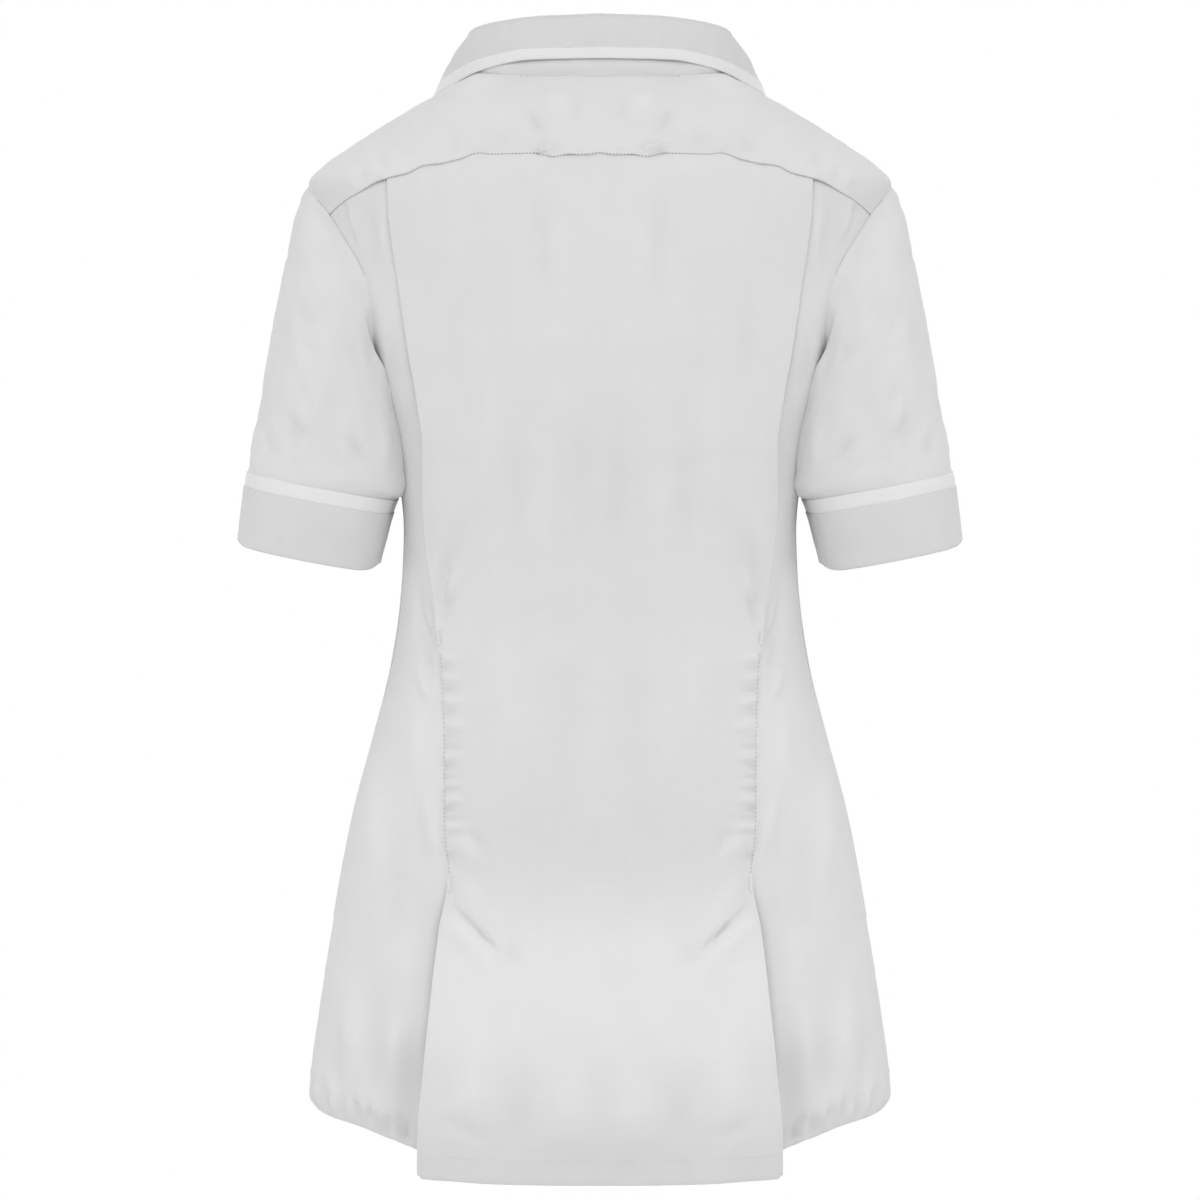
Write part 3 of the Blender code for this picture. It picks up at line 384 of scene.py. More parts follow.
def width_at(height):
    """Half the garment's width at a height."""
    return read(RINGS, "half_width", height)


def depth_at(height, behind):
    return np.where(behind, read(RINGS, "back_depth", height), read(RINGS, "front_depth", height))


def skin(places, lift=0.0):
    """Points on the skin at places of (angle, height), moved out along the skin's normal."""
    angle, height = places[..., 0], places[..., 1]
    cos, sin = np.cos(np.radians(angle)), np.sin(np.radians(angle))
    behind = sin >= 0
    half_width, depth = width_at(height), depth_at(height, behind)
    x = half_width * signed_power(cos, 2 / SQUARENESS)
    y = depth * signed_power(sin, 2 / SQUARENESS)
    step = 0.001
    width_slope = (width_at(height + step) - half_width) / step
    depth_slope = (depth_at(height + step, behind) - depth) / step
    across, along = np.abs(x) / half_width, np.abs(y) / depth
    normal = np.stack([
        signed_power(x / half_width, SQUARENESS - 1) / half_width,
        signed_power(y / depth, SQUARENESS - 1) / depth,
        -(across**SQUARENESS) * width_slope / half_width - along**SQUARENESS * depth_slope / depth,
    ], axis=-1)
    return np.stack([x, y, height], axis=-1) + np.asarray(lift)[..., None] * unit(normal)


def place(angle, height):
    angle, height = np.broadcast_arrays(np.asarray(angle, float), np.asarray(height, float))
    return np.stack([angle, height], axis=-1)


def angle_at_x(x, height, behind):
    share = np.minimum(np.abs(x) / width_at(height), 1.0)
    angle = np.degrees(np.arccos(share ** (SQUARENESS / 2)))
    angle = np.where(np.asarray(x) < 0, 180 - angle, angle)
    return angle if behind else -angle


def at_x(x, height, behind=True):
    """Places on the skin at an x and a height."""
    return place(angle_at_x(x, height, behind), height)


def at_y(y, height):
    """Places on the skin's side at +X, at a y and a height."""
    share = np.minimum(np.abs(y) / depth_at(height, np.asarray(y) >= 0), 1.0)
    return place(np.sign(y) * np.degrees(np.arcsin(share ** (SQUARENESS / 2))), height)


def height_under(x, y):
    """Height of the shoulder's surface at places seen from above."""
    top = RINGS[-1].height
    low, high = np.full_like(x, SHOULDER_TIP), np.full_like(x, top + 0.03)
    for _ in range(30):
        middle = (low + high) / 2
        half_width = width_at(middle) - np.maximum(middle - top, 0)
        depth = depth_at(middle, y >= 0) - np.maximum(middle - top, 0)
        inside = (np.abs(x) / half_width) ** SQUARENESS + (np.abs(y) / depth) ** SQUARENESS < 1
        low, high = np.where(inside, middle, low), np.where(inside, high, middle)
    return low


def side_x(y, height):
    """How far out the skin's side is at a depth and a height."""
    share = np.minimum(np.abs(y) / depth_at(height, y >= 0), 1.0)
    return width_at(height) * (1 - share**SQUARENESS) ** (1 / SQUARENESS)


def armhole(turn, inset=0.0):
    """Places round the armhole, from 0 at the shoulder's tip to 180 at the underarm."""
    straighter = 1 - 0.055 * bell(np.asarray(turn), 65, 14)
    turn = np.radians(turn)
    y = (ARMHOLE_HALF_DEPTH - inset) * np.sin(turn) * straighter
    return at_y(y, ARMHOLE_HEIGHT + (ARMHOLE_HALF_HEIGHT - inset) * np.cos(turn))


def pleat_x(height):
    """Distance from the middle to the pleat's fold."""
    return read(PLEAT, "half_width", height)


def yoke_seam(x):
    """Height of the yoke's back seam at a distance from the middle."""
    return read(YOKE_SEAM, "height", x)


def dense_near_end(shares, width):
    """Extra columns close to the last one, where the cloth dips into its seam."""
    extra = [1 - gap / width for gap in (0.0042, 0.0022, 0.0010)]
    return np.unique(np.concatenate([shares, extra]))


def patch(near, far, first, last, shares):
    """Places between four seams: two across (near, far) and the two that join their ends."""
    t = ((first[:, 1] - first[0, 1]) / (first[-1, 1] - first[0, 1]))[:, None, None]
    s = shares[None, :, None]
    across = blend(near[None], far[None], t)
    along = blend(first[:, None], last[:, None], s)
    corners = blend(blend(near[0], far[0], t), blend(near[-1], far[-1], t), s)
    return across + along - corners


# --- relief
def creased(x, z, creases, strength=CREASE_STRENGTH):
    """How far the creases of a table lift each point."""
    total = np.zeros_like(x)
    for crease in creases:
        along_x, along_z = crease.x1 - crease.x0, crease.z1 - crease.z0
        length = math.hypot(along_x, along_z)
        t = ((x - crease.x0) * along_x + (z - crease.z0) * along_z) / length**2
        across = ((x - crease.x0) * along_z - (z - crease.z0) * along_x) / length
        rise = ease(t / crease.strongest)
        fall = ease((1 - t) / (1 - crease.strongest))
        ridge = bell(across, crease.bend * 4 * t * (1 - t), crease.half_width)
        total += strength * crease.lift * rise * fall * ridge
    return total


def mottled(points, size, seed, drawn=1.0):
    """Soft uneven relief between about -1 and 1, drawn out up and down where drawn is below 1."""
    flat = points.reshape(-1, 3) * [1.0, 1.0, drawn] / size + seed * 7.31
    values = [noise.noise(Vector(p)) + 0.5 * noise.noise(Vector(p * 2.1 + 5.7)) for p in flat]
    return MOTTLE_STRENGTH * np.array(values).reshape(points.shape[:-1])


# --- cloth meshes
Cloth = namedtuple("Cloth", "points normals piece")


def grid_normals(points, outward, closed):
    if closed:
        across = np.roll(points, -1, axis=1) - np.roll(points, 1, axis=1)
    else:
        across = np.gradient(points, axis=1)
    return outward * unit(np.cross(across, np.gradient(points, axis=0)))


def full_width(half):
    """Both halves of a symmetric grid, from its half at +X whose first column is the middle."""
    return np.concatenate([(half * [-1, 1, 1])[:, :0:-1], half], axis=1)


def on_side(grid, sign):
    """A grid that was made at +X, or its mirror image."""
    return grid if sign > 0 else (grid * [-1, 1, 1])[:, ::-1]


def on_relief(lift, sign):
    """The relief of a grid that was made at +X, for the same side as the grid."""
    return lift if sign > 0 else lift[:, ::-1]


def with_hem(points, normals, radius, depth):
    """The grid with a hem below its last row: the cloth turns in and runs back up inside."""
    out, down = normals[-1], unit(points[-1] - points[-2])
    rows = []
    for turn in np.radians((40, 80, 120, 160)):
        rows.append(points[-1] + radius * (out * (math.cos(turn) - 1) + down * math.sin(turn)))
    gone, step = 0.0, 1
    while gone < depth and step < len(points):
        gone += float(np.median(np.linalg.norm(points[-step] - points[-step - 1], axis=-1)))
        rows.append(points[-step - 1] - 2 * radius * normals[-step - 1])
        step += 1
    return np.concatenate([points, np.array(rows)])


def distances(points, axis):
    """How far each point of a grid is along its row or column, from that row's first point."""
    steps = np.linalg.norm(np.diff(points, axis=axis), axis=-1)
    start = np.zeros_like(np.take(steps, [0], axis=axis))
    return np.concatenate([start, np.cumsum(steps, axis=axis)], axis=axis)


def cloth(name, nodes, grid, look, outward=1, wall=CLOTH, relief=None, closed=False,
          hem=None, depth=None):
    """Cloth piece from a grid of points, with its relief, hem and wall, riding on the body."""
    if relief is not None:
        grid = grid + relief[..., None] * grid_normals(grid, outward, closed)
        depth = relief
    normals = grid_normals(grid, outward, closed)
    points = with_hem(grid, normals, *hem) if hem else grid
    count_j, count_i = points.shape[:2]
    looped = np.concatenate([points, points[:, :1]], axis=1) if closed else points
    u, v = distances(looped, 1), distances(looped, 0)
    u -= u[:, -1:] / 2
    faces, coordinates = [], []
    for j in range(count_j - 1):
        for i in range(count_i if closed else count_i - 1):
            corners = [(j, i), (j, i + 1), (j + 1, i + 1), (j + 1, i)][::outward]
            faces.append([a * count_i + b % count_i for a, b in corners])
            coordinates.extend((u[a, b], v[a, b]) for a, b in corners)
    mesh = bpy.data.meshes.new(name)
    mesh.from_pydata([tuple(p) for p in points.reshape(-1, 3)], [], faces)
    layer = mesh.uv_layers.new(name="cloth")
    layer.data.foreach_set("uv", np.array(coordinates).ravel())
    # Painted shade and highlight: each point keeps its relief, which darkens the colour in creases
    # and lightens it on ridges
    painted_crease_shade = np.zeros(points.shape[:2])
    if depth is not None:
        painted_crease_shade[:len(depth)] = np.clip(depth, -GREATEST_PAINTED_RELIEF, GREATEST_PAINTED_RELIEF)
    mesh.attributes.new("painted_crease_shade", "FLOAT", "POINT").data.foreach_set("value", painted_crease_shade.ravel())
    mesh.shade_smooth()
    piece = add_object(name, mesh)
    solidify = piece.modifiers.new("Wall", "SOLIDIFY")
    solidify.thickness = wall
    solidify.offset = -1
    dress(piece, look, nodes)
    return Cloth(grid, normals, piece)


def add_object(name, data):
    made = bpy.data.objects.new(name, data)
    bpy.context.scene.collection.objects.link(made)
    return made


def dress(piece, look, nodes=()):
    """Gives a piece its look, and fixes it to the garment."""
    piece.data.materials.clear()
    piece.data.materials.append(look)
    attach(piece, BODY)
    if nodes:
        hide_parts(*nodes)


# --- materials
def fill(tree, made, values):
    """Sets a node's inputs, each from a value or by a link from another node's output."""
    for name, value in values.items():
        if isinstance(value, bpy.types.NodeSocket):
            tree.links.new(value, made.inputs[name])
        else:
            made.inputs[name].default_value = value


def node(tree, kind, values=None, **settings):
    made = tree.nodes.new("ShaderNode" + kind)
    for setting, value in settings.items():
        setattr(made, setting, value)
    fill(tree, made, values or {})
    return made


def maths(tree, operation, a, b=0.0):
    return node(tree, "Math", {0: a, 1: b}, operation=operation).outputs[0]


def weighted(tree, *parts):
    """Sum of fields, each times its weight."""
    terms = [maths(tree, "MULTIPLY", field, weight) for field, weight in parts]
    total = terms[0]
    for term in terms[1:]:
        total = maths(tree, "ADD", total, term)
    return total


def uneven(tree, vector, scale, detail, stretch=(1.0, 1.0, 1.0)):
    drawn = node(tree, "Mapping", {"Vector": vector, "Scale": stretch}).outputs["Vector"]
    texture = node(tree, "TexNoise", {"Vector": drawn, "Scale": scale, "Detail": detail})
    return texture.outputs["Fac"]


def toned(tree, field, dark, light, first=0.0, last=1.0):
    """Colour from dark to light as a field goes from first to last."""
    ramp = node(tree, "ValToRGB", {"Fac": field})
    for stop, position, colour in zip(ramp.color_ramp.elements, (first, last), (dark, light)):
        stop.position, stop.color = position, (*colour, 1.0)
    return ramp.outputs["Color"]


def material(name, values):
    """A new material with its node tree and its shader."""
    made = bpy.data.materials.new(name)
    made.use_nodes = True
    shader = made.node_tree.nodes["Principled BSDF"]
    fill(made.node_tree, shader, values)
    return made, made.node_tree, shader


def bumped(tree, field, strength, distance):
    bump = node(tree, "Bump", {"Height": field, "Strength": strength, "Distance": distance})
    return bump.outputs["Normal"]


def woven(name, light, dark, pitch, yarn_bump, roughness, sheen):
    """Plain-woven cloth: warp and weft on the cloth's own coordinates, slubs and faint mottling,
    and painted shade in creases with painted highlight on ridges.
    """
    made, tree, shader = material(name, {
        "Roughness": roughness, "Sheen Weight": sheen, "Sheen Roughness": 0.5,
        "Specular IOR Level": 0.25})
    uv = node(tree, "UVMap", uv_map="cloth").outputs["UV"]
    split = node(tree, "SeparateXYZ", {"Vector": uv})
    warp, weft = (
        maths(tree, "SINE", maths(tree, "MULTIPLY", split.outputs[axis], 2 * math.pi / pitch))
        for axis in "XY")
    weave = maths(tree, "MULTIPLY", warp, weft)
    slub_across = uneven(tree, uv, 260.0, 2.0, (0.10, 1.0, 1.0))
    slub_down = uneven(tree, uv, 260.0, 2.0, (1.0, 0.10, 1.0))
    mottle = uneven(tree, uv, 34.0, 3.0)
    tone = weighted(tree, (slub_across, 0.22), (slub_down, 0.22), (mottle, 0.56), (weave, 0.06))
    # Painted shade in creases and painted highlight on ridges, from each point's relief
    painted_crease_shade = node(tree, "Attribute", attribute_name="painted_crease_shade").outputs["Fac"]
    painted_shade_scale = maths(tree, "ADD", maths(tree, "MULTIPLY", painted_crease_shade, CREASE_PAINTED_SHADE), 1.0)
    colour = toned(tree, tone, dark, light, 0.30, 0.70)
    shaded = node(tree, "VectorMath", {"Vector": colour, "Scale": painted_shade_scale}, operation="SCALE")
    yarns = weighted(tree, (weave, yarn_bump), (slub_across, 0.5), (slub_down, 0.5))
    fill(tree, shader, {"Base Color": shaded.outputs["Vector"],
                        "Normal": bumped(tree, yarns, 0.35, 0.00012)})
    return made


def plain(name, colour, roughness, grain=900.0, depth=0.0001):
    """Plastic or thread: one colour with a fine uneven surface."""
    made, tree, shader = material(name, {"Roughness": roughness})
    field = uneven(tree, node(tree, "TexCoord").outputs["Object"], grain, 3.0)
    fill(tree, shader, {"Base Color": toned(tree, field, [0.94 * c for c in colour], colour),
                        "Normal": bumped(tree, field, 0.25, depth)})
    return made


WHITE = woven("white_cloth", (0.870, 0.870, 0.874), (0.841, 0.841, 0.846), 0.00062, 0.5, 0.82, 0.10)
# Darker copy of the white cloth for the collar's leaf and the cuffs: painted shade, as the cloth
# itself is the same
SHADED_WHITE = woven("painted_shade_cloth", (0.812, 0.812, 0.816), (0.783, 0.783, 0.788),
                0.00062, 0.5, 0.82, 0.10)
TRIM = woven("trim_cloth", (0.930, 0.930, 0.934), (0.900, 0.900, 0.905), 0.00050, 0.3, 0.60, 0.15)
THREAD = plain("thread", (0.76, 0.76, 0.77), 0.60)
BRIGHT_THREAD = plain("bar_thread", (0.96, 0.96, 0.96), 0.45)
# Near-black thread for the yoke's seam: painted shadow of the seam's gap, on stitches that are
# white
YOKE_EDGE_SHADOW_THREAD = plain("painted_yoke_seam_shadow", (0.34, 0.34, 0.35), 0.70)
# Grey thread for the seams at the neck, the armholes and the pleats' edges: painted shade of the
# seams' dips and the fold's edge, on stitches that are white
SEAM_SHADE_GREY = plain("painted_seam_shade", (0.53, 0.53, 0.53), 0.80)
PLASTIC = plain("button_plastic", (0.86, 0.86, 0.86), 0.28, 300.0, 0.00005)


# --- stitching
# Rings along a stitch: how far along, how thick and how high above the cloth
STITCH_RINGS = [(0.06, 0.5, 0.2), (0.30, 1.0, 0.9), (0.70, 1.0, 0.9), (0.94, 0.5, 0.2)]
STITCH_SIDES = 5
OUT_LEFT, OUT_BACK = np.array([1.0, 0.0, 0.0]), np.array([0.0, 1.0, 0.0])


def sewn(name, stitches, look, radius):
    """One mesh of stitches (from, to, outwards): each rises from the cloth at both ends."""
    vertices, faces = [], []
    sides = range(STITCH_SIDES)
    for a, b, out in stitches:
        side = np.cross(unit(b - a), out)
        first = len(vertices)
        for share, size, rise in STITCH_RINGS:
            centre = blend(a, b, share) + out * radius * rise
            for turn in (2 * math.pi * k / STITCH_SIDES for k in sides):
                around = side * math.cos(turn) + out * math.sin(turn)
                vertices.append(centre + size * radius * around)
        for ring in range(len(STITCH_RINGS) - 1):
            for k in sides:
                i = first + ring * STITCH_SIDES + k
                j = first + ring * STITCH_SIDES + (k + 1) % STITCH_SIDES
                faces.append((i, j, j + STITCH_SIDES, i + STITCH_SIDES))
        faces.append(tuple(first + k for k in reversed(sides)))
        faces.append(tuple(len(vertices) - STITCH_SIDES + k for k in sides))
    mesh = bpy.data.meshes.new(name)
    mesh.from_pydata([tuple(v) for v in vertices], [], faces)
    mesh.validate()
    shape = bmesh.new()
    shape.from_mesh(mesh)
    bmesh.ops.recalc_face_normals(shape, faces=shape.faces)
    shape.to_mesh(mesh)
    shape.free()
    mesh.shade_smooth()
    dress(add_object(name, mesh), look)


def point_at(at, stations, points):
    """The point at a station of a line of points."""
    return np.array([np.interp(at, stations, points[:, k]) for k in range(3)])


def stitched(name, line, normals, look, pitch=0.0028, length=0.0020, radius=0.00022):
    """Row of stitches along a line of points on the cloth."""
    along = distances(line, 0)
    stitches = []
    for start in np.arange(pitch / 2, along[-1] - length, pitch):
        ends = [point_at(at, along, line) for at in (start, start + length)]
        stitches.append((*ends, unit(point_at(start, along, normals))))
    sewn(name, stitches, look, radius)


def overlocked(name, above, below, pitch):
    """Short upright stitches between two lines, across the back of the neck seam."""
    keep = (np.abs(above[0][:, 0]) < NECK_STITCHES) & (above[0][:, 1] > 0)
    lines = [points[keep] for points in (above[0], below[0], above[1])]
    order = np.argsort(lines[0][:, 0])
    stations = lines[0][order, 0]
    # The grey stitches are painted shade of the neck seam
    sewn(name, [[point_at(x, stations, points[order]) for points in lines]
                for x in np.arange(-NECK_STITCHES, NECK_STITCHES, pitch)], SEAM_SHADE_GREY, 0.00014)


def armhole_seam(name, sign):
    """The seam's line round the back of the armhole, where both cloths dip: its grey stitches are
    painted shade of the dip.
    """
    places = armhole(spaced(*ARMHOLE_LINE, 40))
    line, outs = skin(places, 0.0002), skin(places, 1.0) - skin(places)
    line[:, 1] += pushed(*line.T)
    stitched(name, line * [sign, 1, 1], outs * [sign, 1, 1], SEAM_SHADE_GREY, 0.0016, 0.0017, 0.00034)


def row_at(sheet, distance, lift=0.0001):
    """Line across a cloth piece at a distance up from its last row, with its normals."""
    points, normals = sheet.points[::-1], sheet.normals[::-1]
    up = distances(points, 0)
    line, outs = (np.array([point_at(distance, up[:, i], grid[:, i]) for i in range(up.shape[1])])
                  for grid in (points, normals))
    return line + lift * outs, outs


def down_edge(sheet, sign, distance, top):
    """Line down a piece's inner edge, or its outer one for the other sign, below a height."""
    points, normals = (np.swapaxes(a, 0, 1)[::-sign] for a in (sheet.points, sheet.normals))
    line, outs = row_at(Cloth(points, normals, sheet.piece), distance)
    return line[line[:, 2] < top], outs[line[:, 2] < top]


# --- yoke
YOKE_TURNS = [BACK_SEAM_TURN, 43.0, 34.0, 22.0, 10.0, -4.0, -19.0, FRONT_SEAM_TURN]
YOKE_SEAM_AT_PLEAT = -0.0600
YOKE_OVER_SEAM = 0.0012
UNDER_YOKE = 0.004
CENTRE_SHARES = [0.0, 0.14, 0.28, 0.42, 0.56, 0.70, 0.82, 0.92, 1.0]
FRONT_SHARES = [0.0, 0.055, 0.115, 0.25, 0.38, 0.51, 0.64, 0.77, 0.89, 1.0]


def neck_corner():
    return at_y(FRONT_YOKE_Y, NECK_FRONT_HEIGHT)


def make_yoke():
    fine = 6
    edge = float(pleat_x(YOKE_SEAM_AT_PLEAT))
    beyond = spaced(edge + LEDGE, YOKE_SEAM[-1].x, 6)
    x = refine(np.concatenate([edge * np.array(CENTRE_SHARES), beyond]), fine)
    near = at_x(x, yoke_seam(x) - YOKE_OVER_SEAM)
    angles = refine(spaced(90, float(neck_corner()[0]), 6), fine)
    neck = place(angles, read(NECK_SEAM, "height", angles))
    front_end = armhole(FRONT_SEAM_TURN)
    heights = blend(NECK_FRONT_HEIGHT, front_end[1], refine(FRONT_SHARES, fine))
    front = at_y(FRONT_YOKE_Y - YOKE_OVER_SEAM, heights)
    far = np.concatenate([neck[:-1], front])
    turns = refine(YOKE_TURNS, fine)
    last = armhole(turns)
    near[-1], far[-1] = last[0], last[-1]
    share = (turns - turns[0]) / (turns[-1] - turns[0])
    first = blend(near[0], far[0], share[:, None])
    places = patch(near, far, first, last, np.linspace(0, 1, len(near)))
    grid = full_width(skin(places, YOKE_LIFT)[::-1])
    x, y, z = np.abs(grid[..., 0]), grid[..., 1], grid[..., 2]
    lift = creased(x, z, YOKE_CREASES) * ease((y - 0.02) / 0.02)
    lift += 0.0022 * bell(x, 0.084, 0.013) * bell(y, 0.056, 0.013)
    mirrored = np.stack([x, y, z], axis=-1)
    lift += 0.00018 * mottled(mirrored, 0.016, 1)
    lift += 0.00035 * mottled(mirrored, 0.045, 2)
    up = np.maximum(z - yoke_seam(x), 0.0)
    lift = np.where(y > 0, np.maximum(lift, -0.0004 - 0.30 * np.maximum(up - 0.004, 0.0)), lift)
    return cloth("yoke_cloth", ["yoke"], grid, WHITE, wall=DOUBLE_CLOTH, relief=lift)


# --- centre back
ROW_STEP, FINE_STEP = 0.0034, 0.0020
FINE_TOP, FINE_BOTTOM = -0.360, -0.600


def pleat_levels():
    """Heights of the rows that the centre back and both side backs share."""
    top = yoke_seam(pleat_x(YOKE_SEAM_AT_PLEAT)) + UNDER_YOKE
    hem = read(SIDE_BACK_HEM, "height", pleat_x(SIDE_BACK_HEM[0].height))
    knots = [float(top), FINE_TOP, FINE_BOTTOM, float(hem)]
    steps = [round((high - low) / step) for high, low, step in
             zip(knots, knots[1:], (ROW_STEP, FINE_STEP, ROW_STEP))]
    return np.concatenate([spaced(high, low, count)[:-1] for high, low, count in
                           zip(knots, knots[1:], steps)] + [[knots[-1]]])


def hollowed(x, z):
    """How far the small of the back lies in from the plain skin, above the lower opening."""
    return 0.0106 * bell(z, -0.541, 0.060) * (1 - ease((x - 0.06) / 0.10))


def make_centre_back():
    levels = pleat_levels()
    top, hem = levels[0], levels[-1]
    shares = np.concatenate([spaced(0, 0.40, 12), spaced(0.42, 1.0, 29)])
    drop = ((top - levels) / (top - hem))[:, None]
    seam_shift = yoke_seam(shares * pleat_x(top)) + UNDER_YOKE - top
    corner = np.clip((shares - HEM_CORNER) / (1 - HEM_CORNER), 0, 1) ** 2
    hem_shift = CENTRE_HEM_HEIGHT - hem + CENTRE_HEM_RISE * shares**2.2 + HEM_CORNER_RISE * corner
    height = levels[:, None] + seam_shift * (1 - drop) ** 4 + hem_shift * drop**4
    x = shares * pleat_x(height)
    grid = skin(at_x(x, height), -0.0001)
    grid[..., 1] += read(PLEAT, "stand_off", height) - hollowed(x, height)
    z = grid[..., 2]
    lift = creased(grid[..., 0], z, CENTRE_CREASES)
    for pucker in PLEAT_PUCKERS:
        inward = (pleat_x(z) - grid[..., 0]) / pucker.reach
        along = ease(inward / 0.15) * (1 - ease((inward - 0.15) / 0.85))
        height_share = bell(z, pucker.z, PUCKER_HALF_HEIGHT)
        lift += PUCKER_STRENGTH * pucker.lift * along * height_share
    near_seam = bell(z, seam_shift + top - 0.010, 0.007)
    lift += 0.00035 * near_seam * mottled(grid, 0.009, 3, 0.3)
    lift += read(SWELLS, "lift", z)
    lift += 0.00012 * mottled(grid, 0.012, 4)
    lift += 0.00045 * mottled(grid, 0.040, 5, 0.35)
    lift += 0.0006 * mottled(grid, 0.070, 6) * ease((-0.58 - z) / 0.1)
    hem_ruck = bell(z, hem_shift + hem + HEM_DEPTH, 0.006)
    lift += 0.00030 * hem_ruck * mottled(grid, 0.010, 7, 0.5)
    lift -= TUCK_DEPTH * ease((z - yoke_seam(grid[..., 0])) / 0.003)
    grid = grid + lift[..., None] * grid_normals(grid, 1, False)
    edge = grid[:, -1]
    folds = []
    for turn in np.radians((60, 30, 0, -30, -60, -90)):
        folds.append(edge + FOLD_RADIUS * np.array([math.cos(turn), math.sin(turn) - 1, 0.0]))
    height = edge[:, 2]
    for share in spaced(0.0, 1.0, 9)[1:]:
        x = edge[:, 0] - PLEAT_RETURN * share
        over = np.array([[np.interp(x[j], row[:, 0], row[:, k]) for k in (1, 2)]
                         for j, row in enumerate(grid)])
        below = skin(at_x(x, height))[:, 1] - hollowed(x, height)
        y = np.minimum(blend(over[:, 0], below, share), over[:, 0]) - 2 * FOLD_RADIUS
        folds.append(np.stack([x, y, over[:, 1]], axis=-1))
    # Relief that drives the painted crease shade; the turned-back fold gets none
    depth = np.concatenate([lift, np.zeros((len(grid), len(folds)))], axis=1)
    grid = full_width(np.concatenate([grid, np.stack(folds, axis=1)], axis=1))
    return cloth("centre_back_cloth", ["centre_back"], grid, WHITE, hem=(HEM_RADIUS, HEM_DEPTH),
                 depth=np.concatenate([depth[:, :0:-1], depth], axis=1))


# --- side backs
BACK_TURNS = [BACK_SEAM_TURN, 52.5, 64.0, 80.0, 98.0, 116.0, 136.0, 158.0, 180.0]
# Widths over which the shares across a piece run, and the dip along its side seam
SIDE_BACK_WIDTH, FRONT_WIDTH = 0.07, 0.28
SEAM_DIP, SEAM_DIP_WIDTH = 0.0006, 0.0013


def down_to_edge(angle, height, edge):
    """Places on an edge that is given by its heights across the width."""
    heights = np.full_like(angle, height)
    for _ in range(4):
        heights = read(edge, "height", np.abs(skin(place(angle, heights))[..., 0]))
    return place(angle, heights)


def pushed(x, y, z):
    """How far the back stands out beside the armhole, where the sleeve leans on it."""
    beside = bell(z, -0.194, 0.056) * (y > 0)
    return SLEEVE_PUSH * beside * ease((x - 0.120) / 0.026) * ease((width_at(z) - x) / 0.010)


def make_side_back(sign):
    side = SIDES[sign]
    levels = pleat_levels()
    ledge = at_x(pleat_x(levels) + LEDGE, levels)
    inner = at_x(pleat_x(levels) - PLEAT_RETURN, levels)
    armhole_rows = int(np.sum(levels > UNDERARM))
    at_rows = np.linspace(0, len(BACK_TURNS) - 1, armhole_rows)
    at_armhole = armhole(np.interp(at_rows, range(len(BACK_TURNS)), BACK_TURNS))
    hem_side = float(read(SIDE_BACK_HEM, "height", width_at(levels[-1])))
    side_levels = levels[armhole_rows - 1:]
    drop = (side_levels[1:] - side_levels[0]) / (side_levels[-1] - side_levels[0])
    outer = np.concatenate([at_armhole, at_y(0.0001, blend(UNDERARM, hem_side, drop))])
    shares = dense_near_end(spaced(0, 1, 34), SIDE_BACK_WIDTH)
    angles = blend(ledge[0, 0], outer[0, 0], shares)
    near = down_to_edge(angles, levels[0], YOKE_SEAM) + place(0.0, UNDER_YOKE * (1 - shares))
    near[0], near[-1] = ledge[0], outer[0]
    angles = blend(ledge[-1, 0], outer[-1, 0], shares)
    far = down_to_edge(angles, hem_side, SIDE_BACK_HEM)
    far[0], far[-1] = ledge[-1], outer[-1]
    beyond = patch(near, far, ledge, outer, shares)
    under = blend(inner[:, None], ledge[:, None], spaced(0, 1, 9)[None, :-1, None])
    grid = skin(np.concatenate([under, beyond], axis=1))
    x, z = grid[..., 0], grid[..., 2]
    start = pleat_x(z) + LEDGE
    fade = np.minimum(RECESS_FADE, 0.85 * (width_at(z) - start))
    grid[..., 1] -= read(PLEAT, "recess", z) * (1 - ease((x - start) / fade)) + hollowed(x, z)
    grid[..., 1] -= UNDER_FOLD * ease((start - x) / 0.008)
    follow = KICK_FOLLOW * read(PLEAT, "stand_off", z) * ease((-0.555 - z) / 0.05)
    follow *= 1 - 0.65 * ease((-0.630 - z) / 0.07)
    grid[..., 1] += follow * ease((x - start + 0.014) / 0.014) * (1 - ease((x - start) / 0.055))
    grid[..., 1] += pushed(x, grid[..., 1], z)
    lift = creased(x, z, SIDE_BACK_CREASES)
    hem_height = read(SIDE_BACK_HEM, "height", x)
    for pucker in HEM_PUCKERS:
        up = (z - hem_height - 0.008) / HEM_PUCKER_HEIGHT
        ridge = bell(x, pucker.x + pucker.lean * up, 0.0024) * bell(up, 0, 1)
        lift += HEM_PUCKER_STRENGTH * pucker.lift * ridge
    lift *= blend(0.25, 1.0, ease((z - hem_height - 0.001) / 0.007))
    lift += 0.00085 * bell(z, hem_height + 0.014, 0.009) * mottled(grid, 0.0080, 16, 0.5)
    lift += 0.00012 * mottled(grid, 0.012, 14)
    lift += 0.00040 * mottled(grid, 0.035, 15, 0.4)
    lift *= ease((x - start + 0.010) / 0.010)
    lift -= TUCK_DEPTH * ease((z - yoke_seam(x)) / 0.003)
    gone = 1 - np.concatenate([np.zeros(under.shape[1]), shares])
    turned = HEM_TURN * np.clip((hem_height + 0.024 - z) / 0.024, 0, 1) ** 1.5
    lift -= turned * ease(gone / 0.25)
    lift -= SEAM_DIP * bell(gone * SIDE_BACK_WIDTH, 0, SEAM_DIP_WIDTH)
    return cloth("side_back_cloth_" + side, ["side_back_" + side], on_side(grid, sign), WHITE,
                 relief=on_relief(lift, sign), hem=(HEM_RADIUS, HEM_DEPTH))


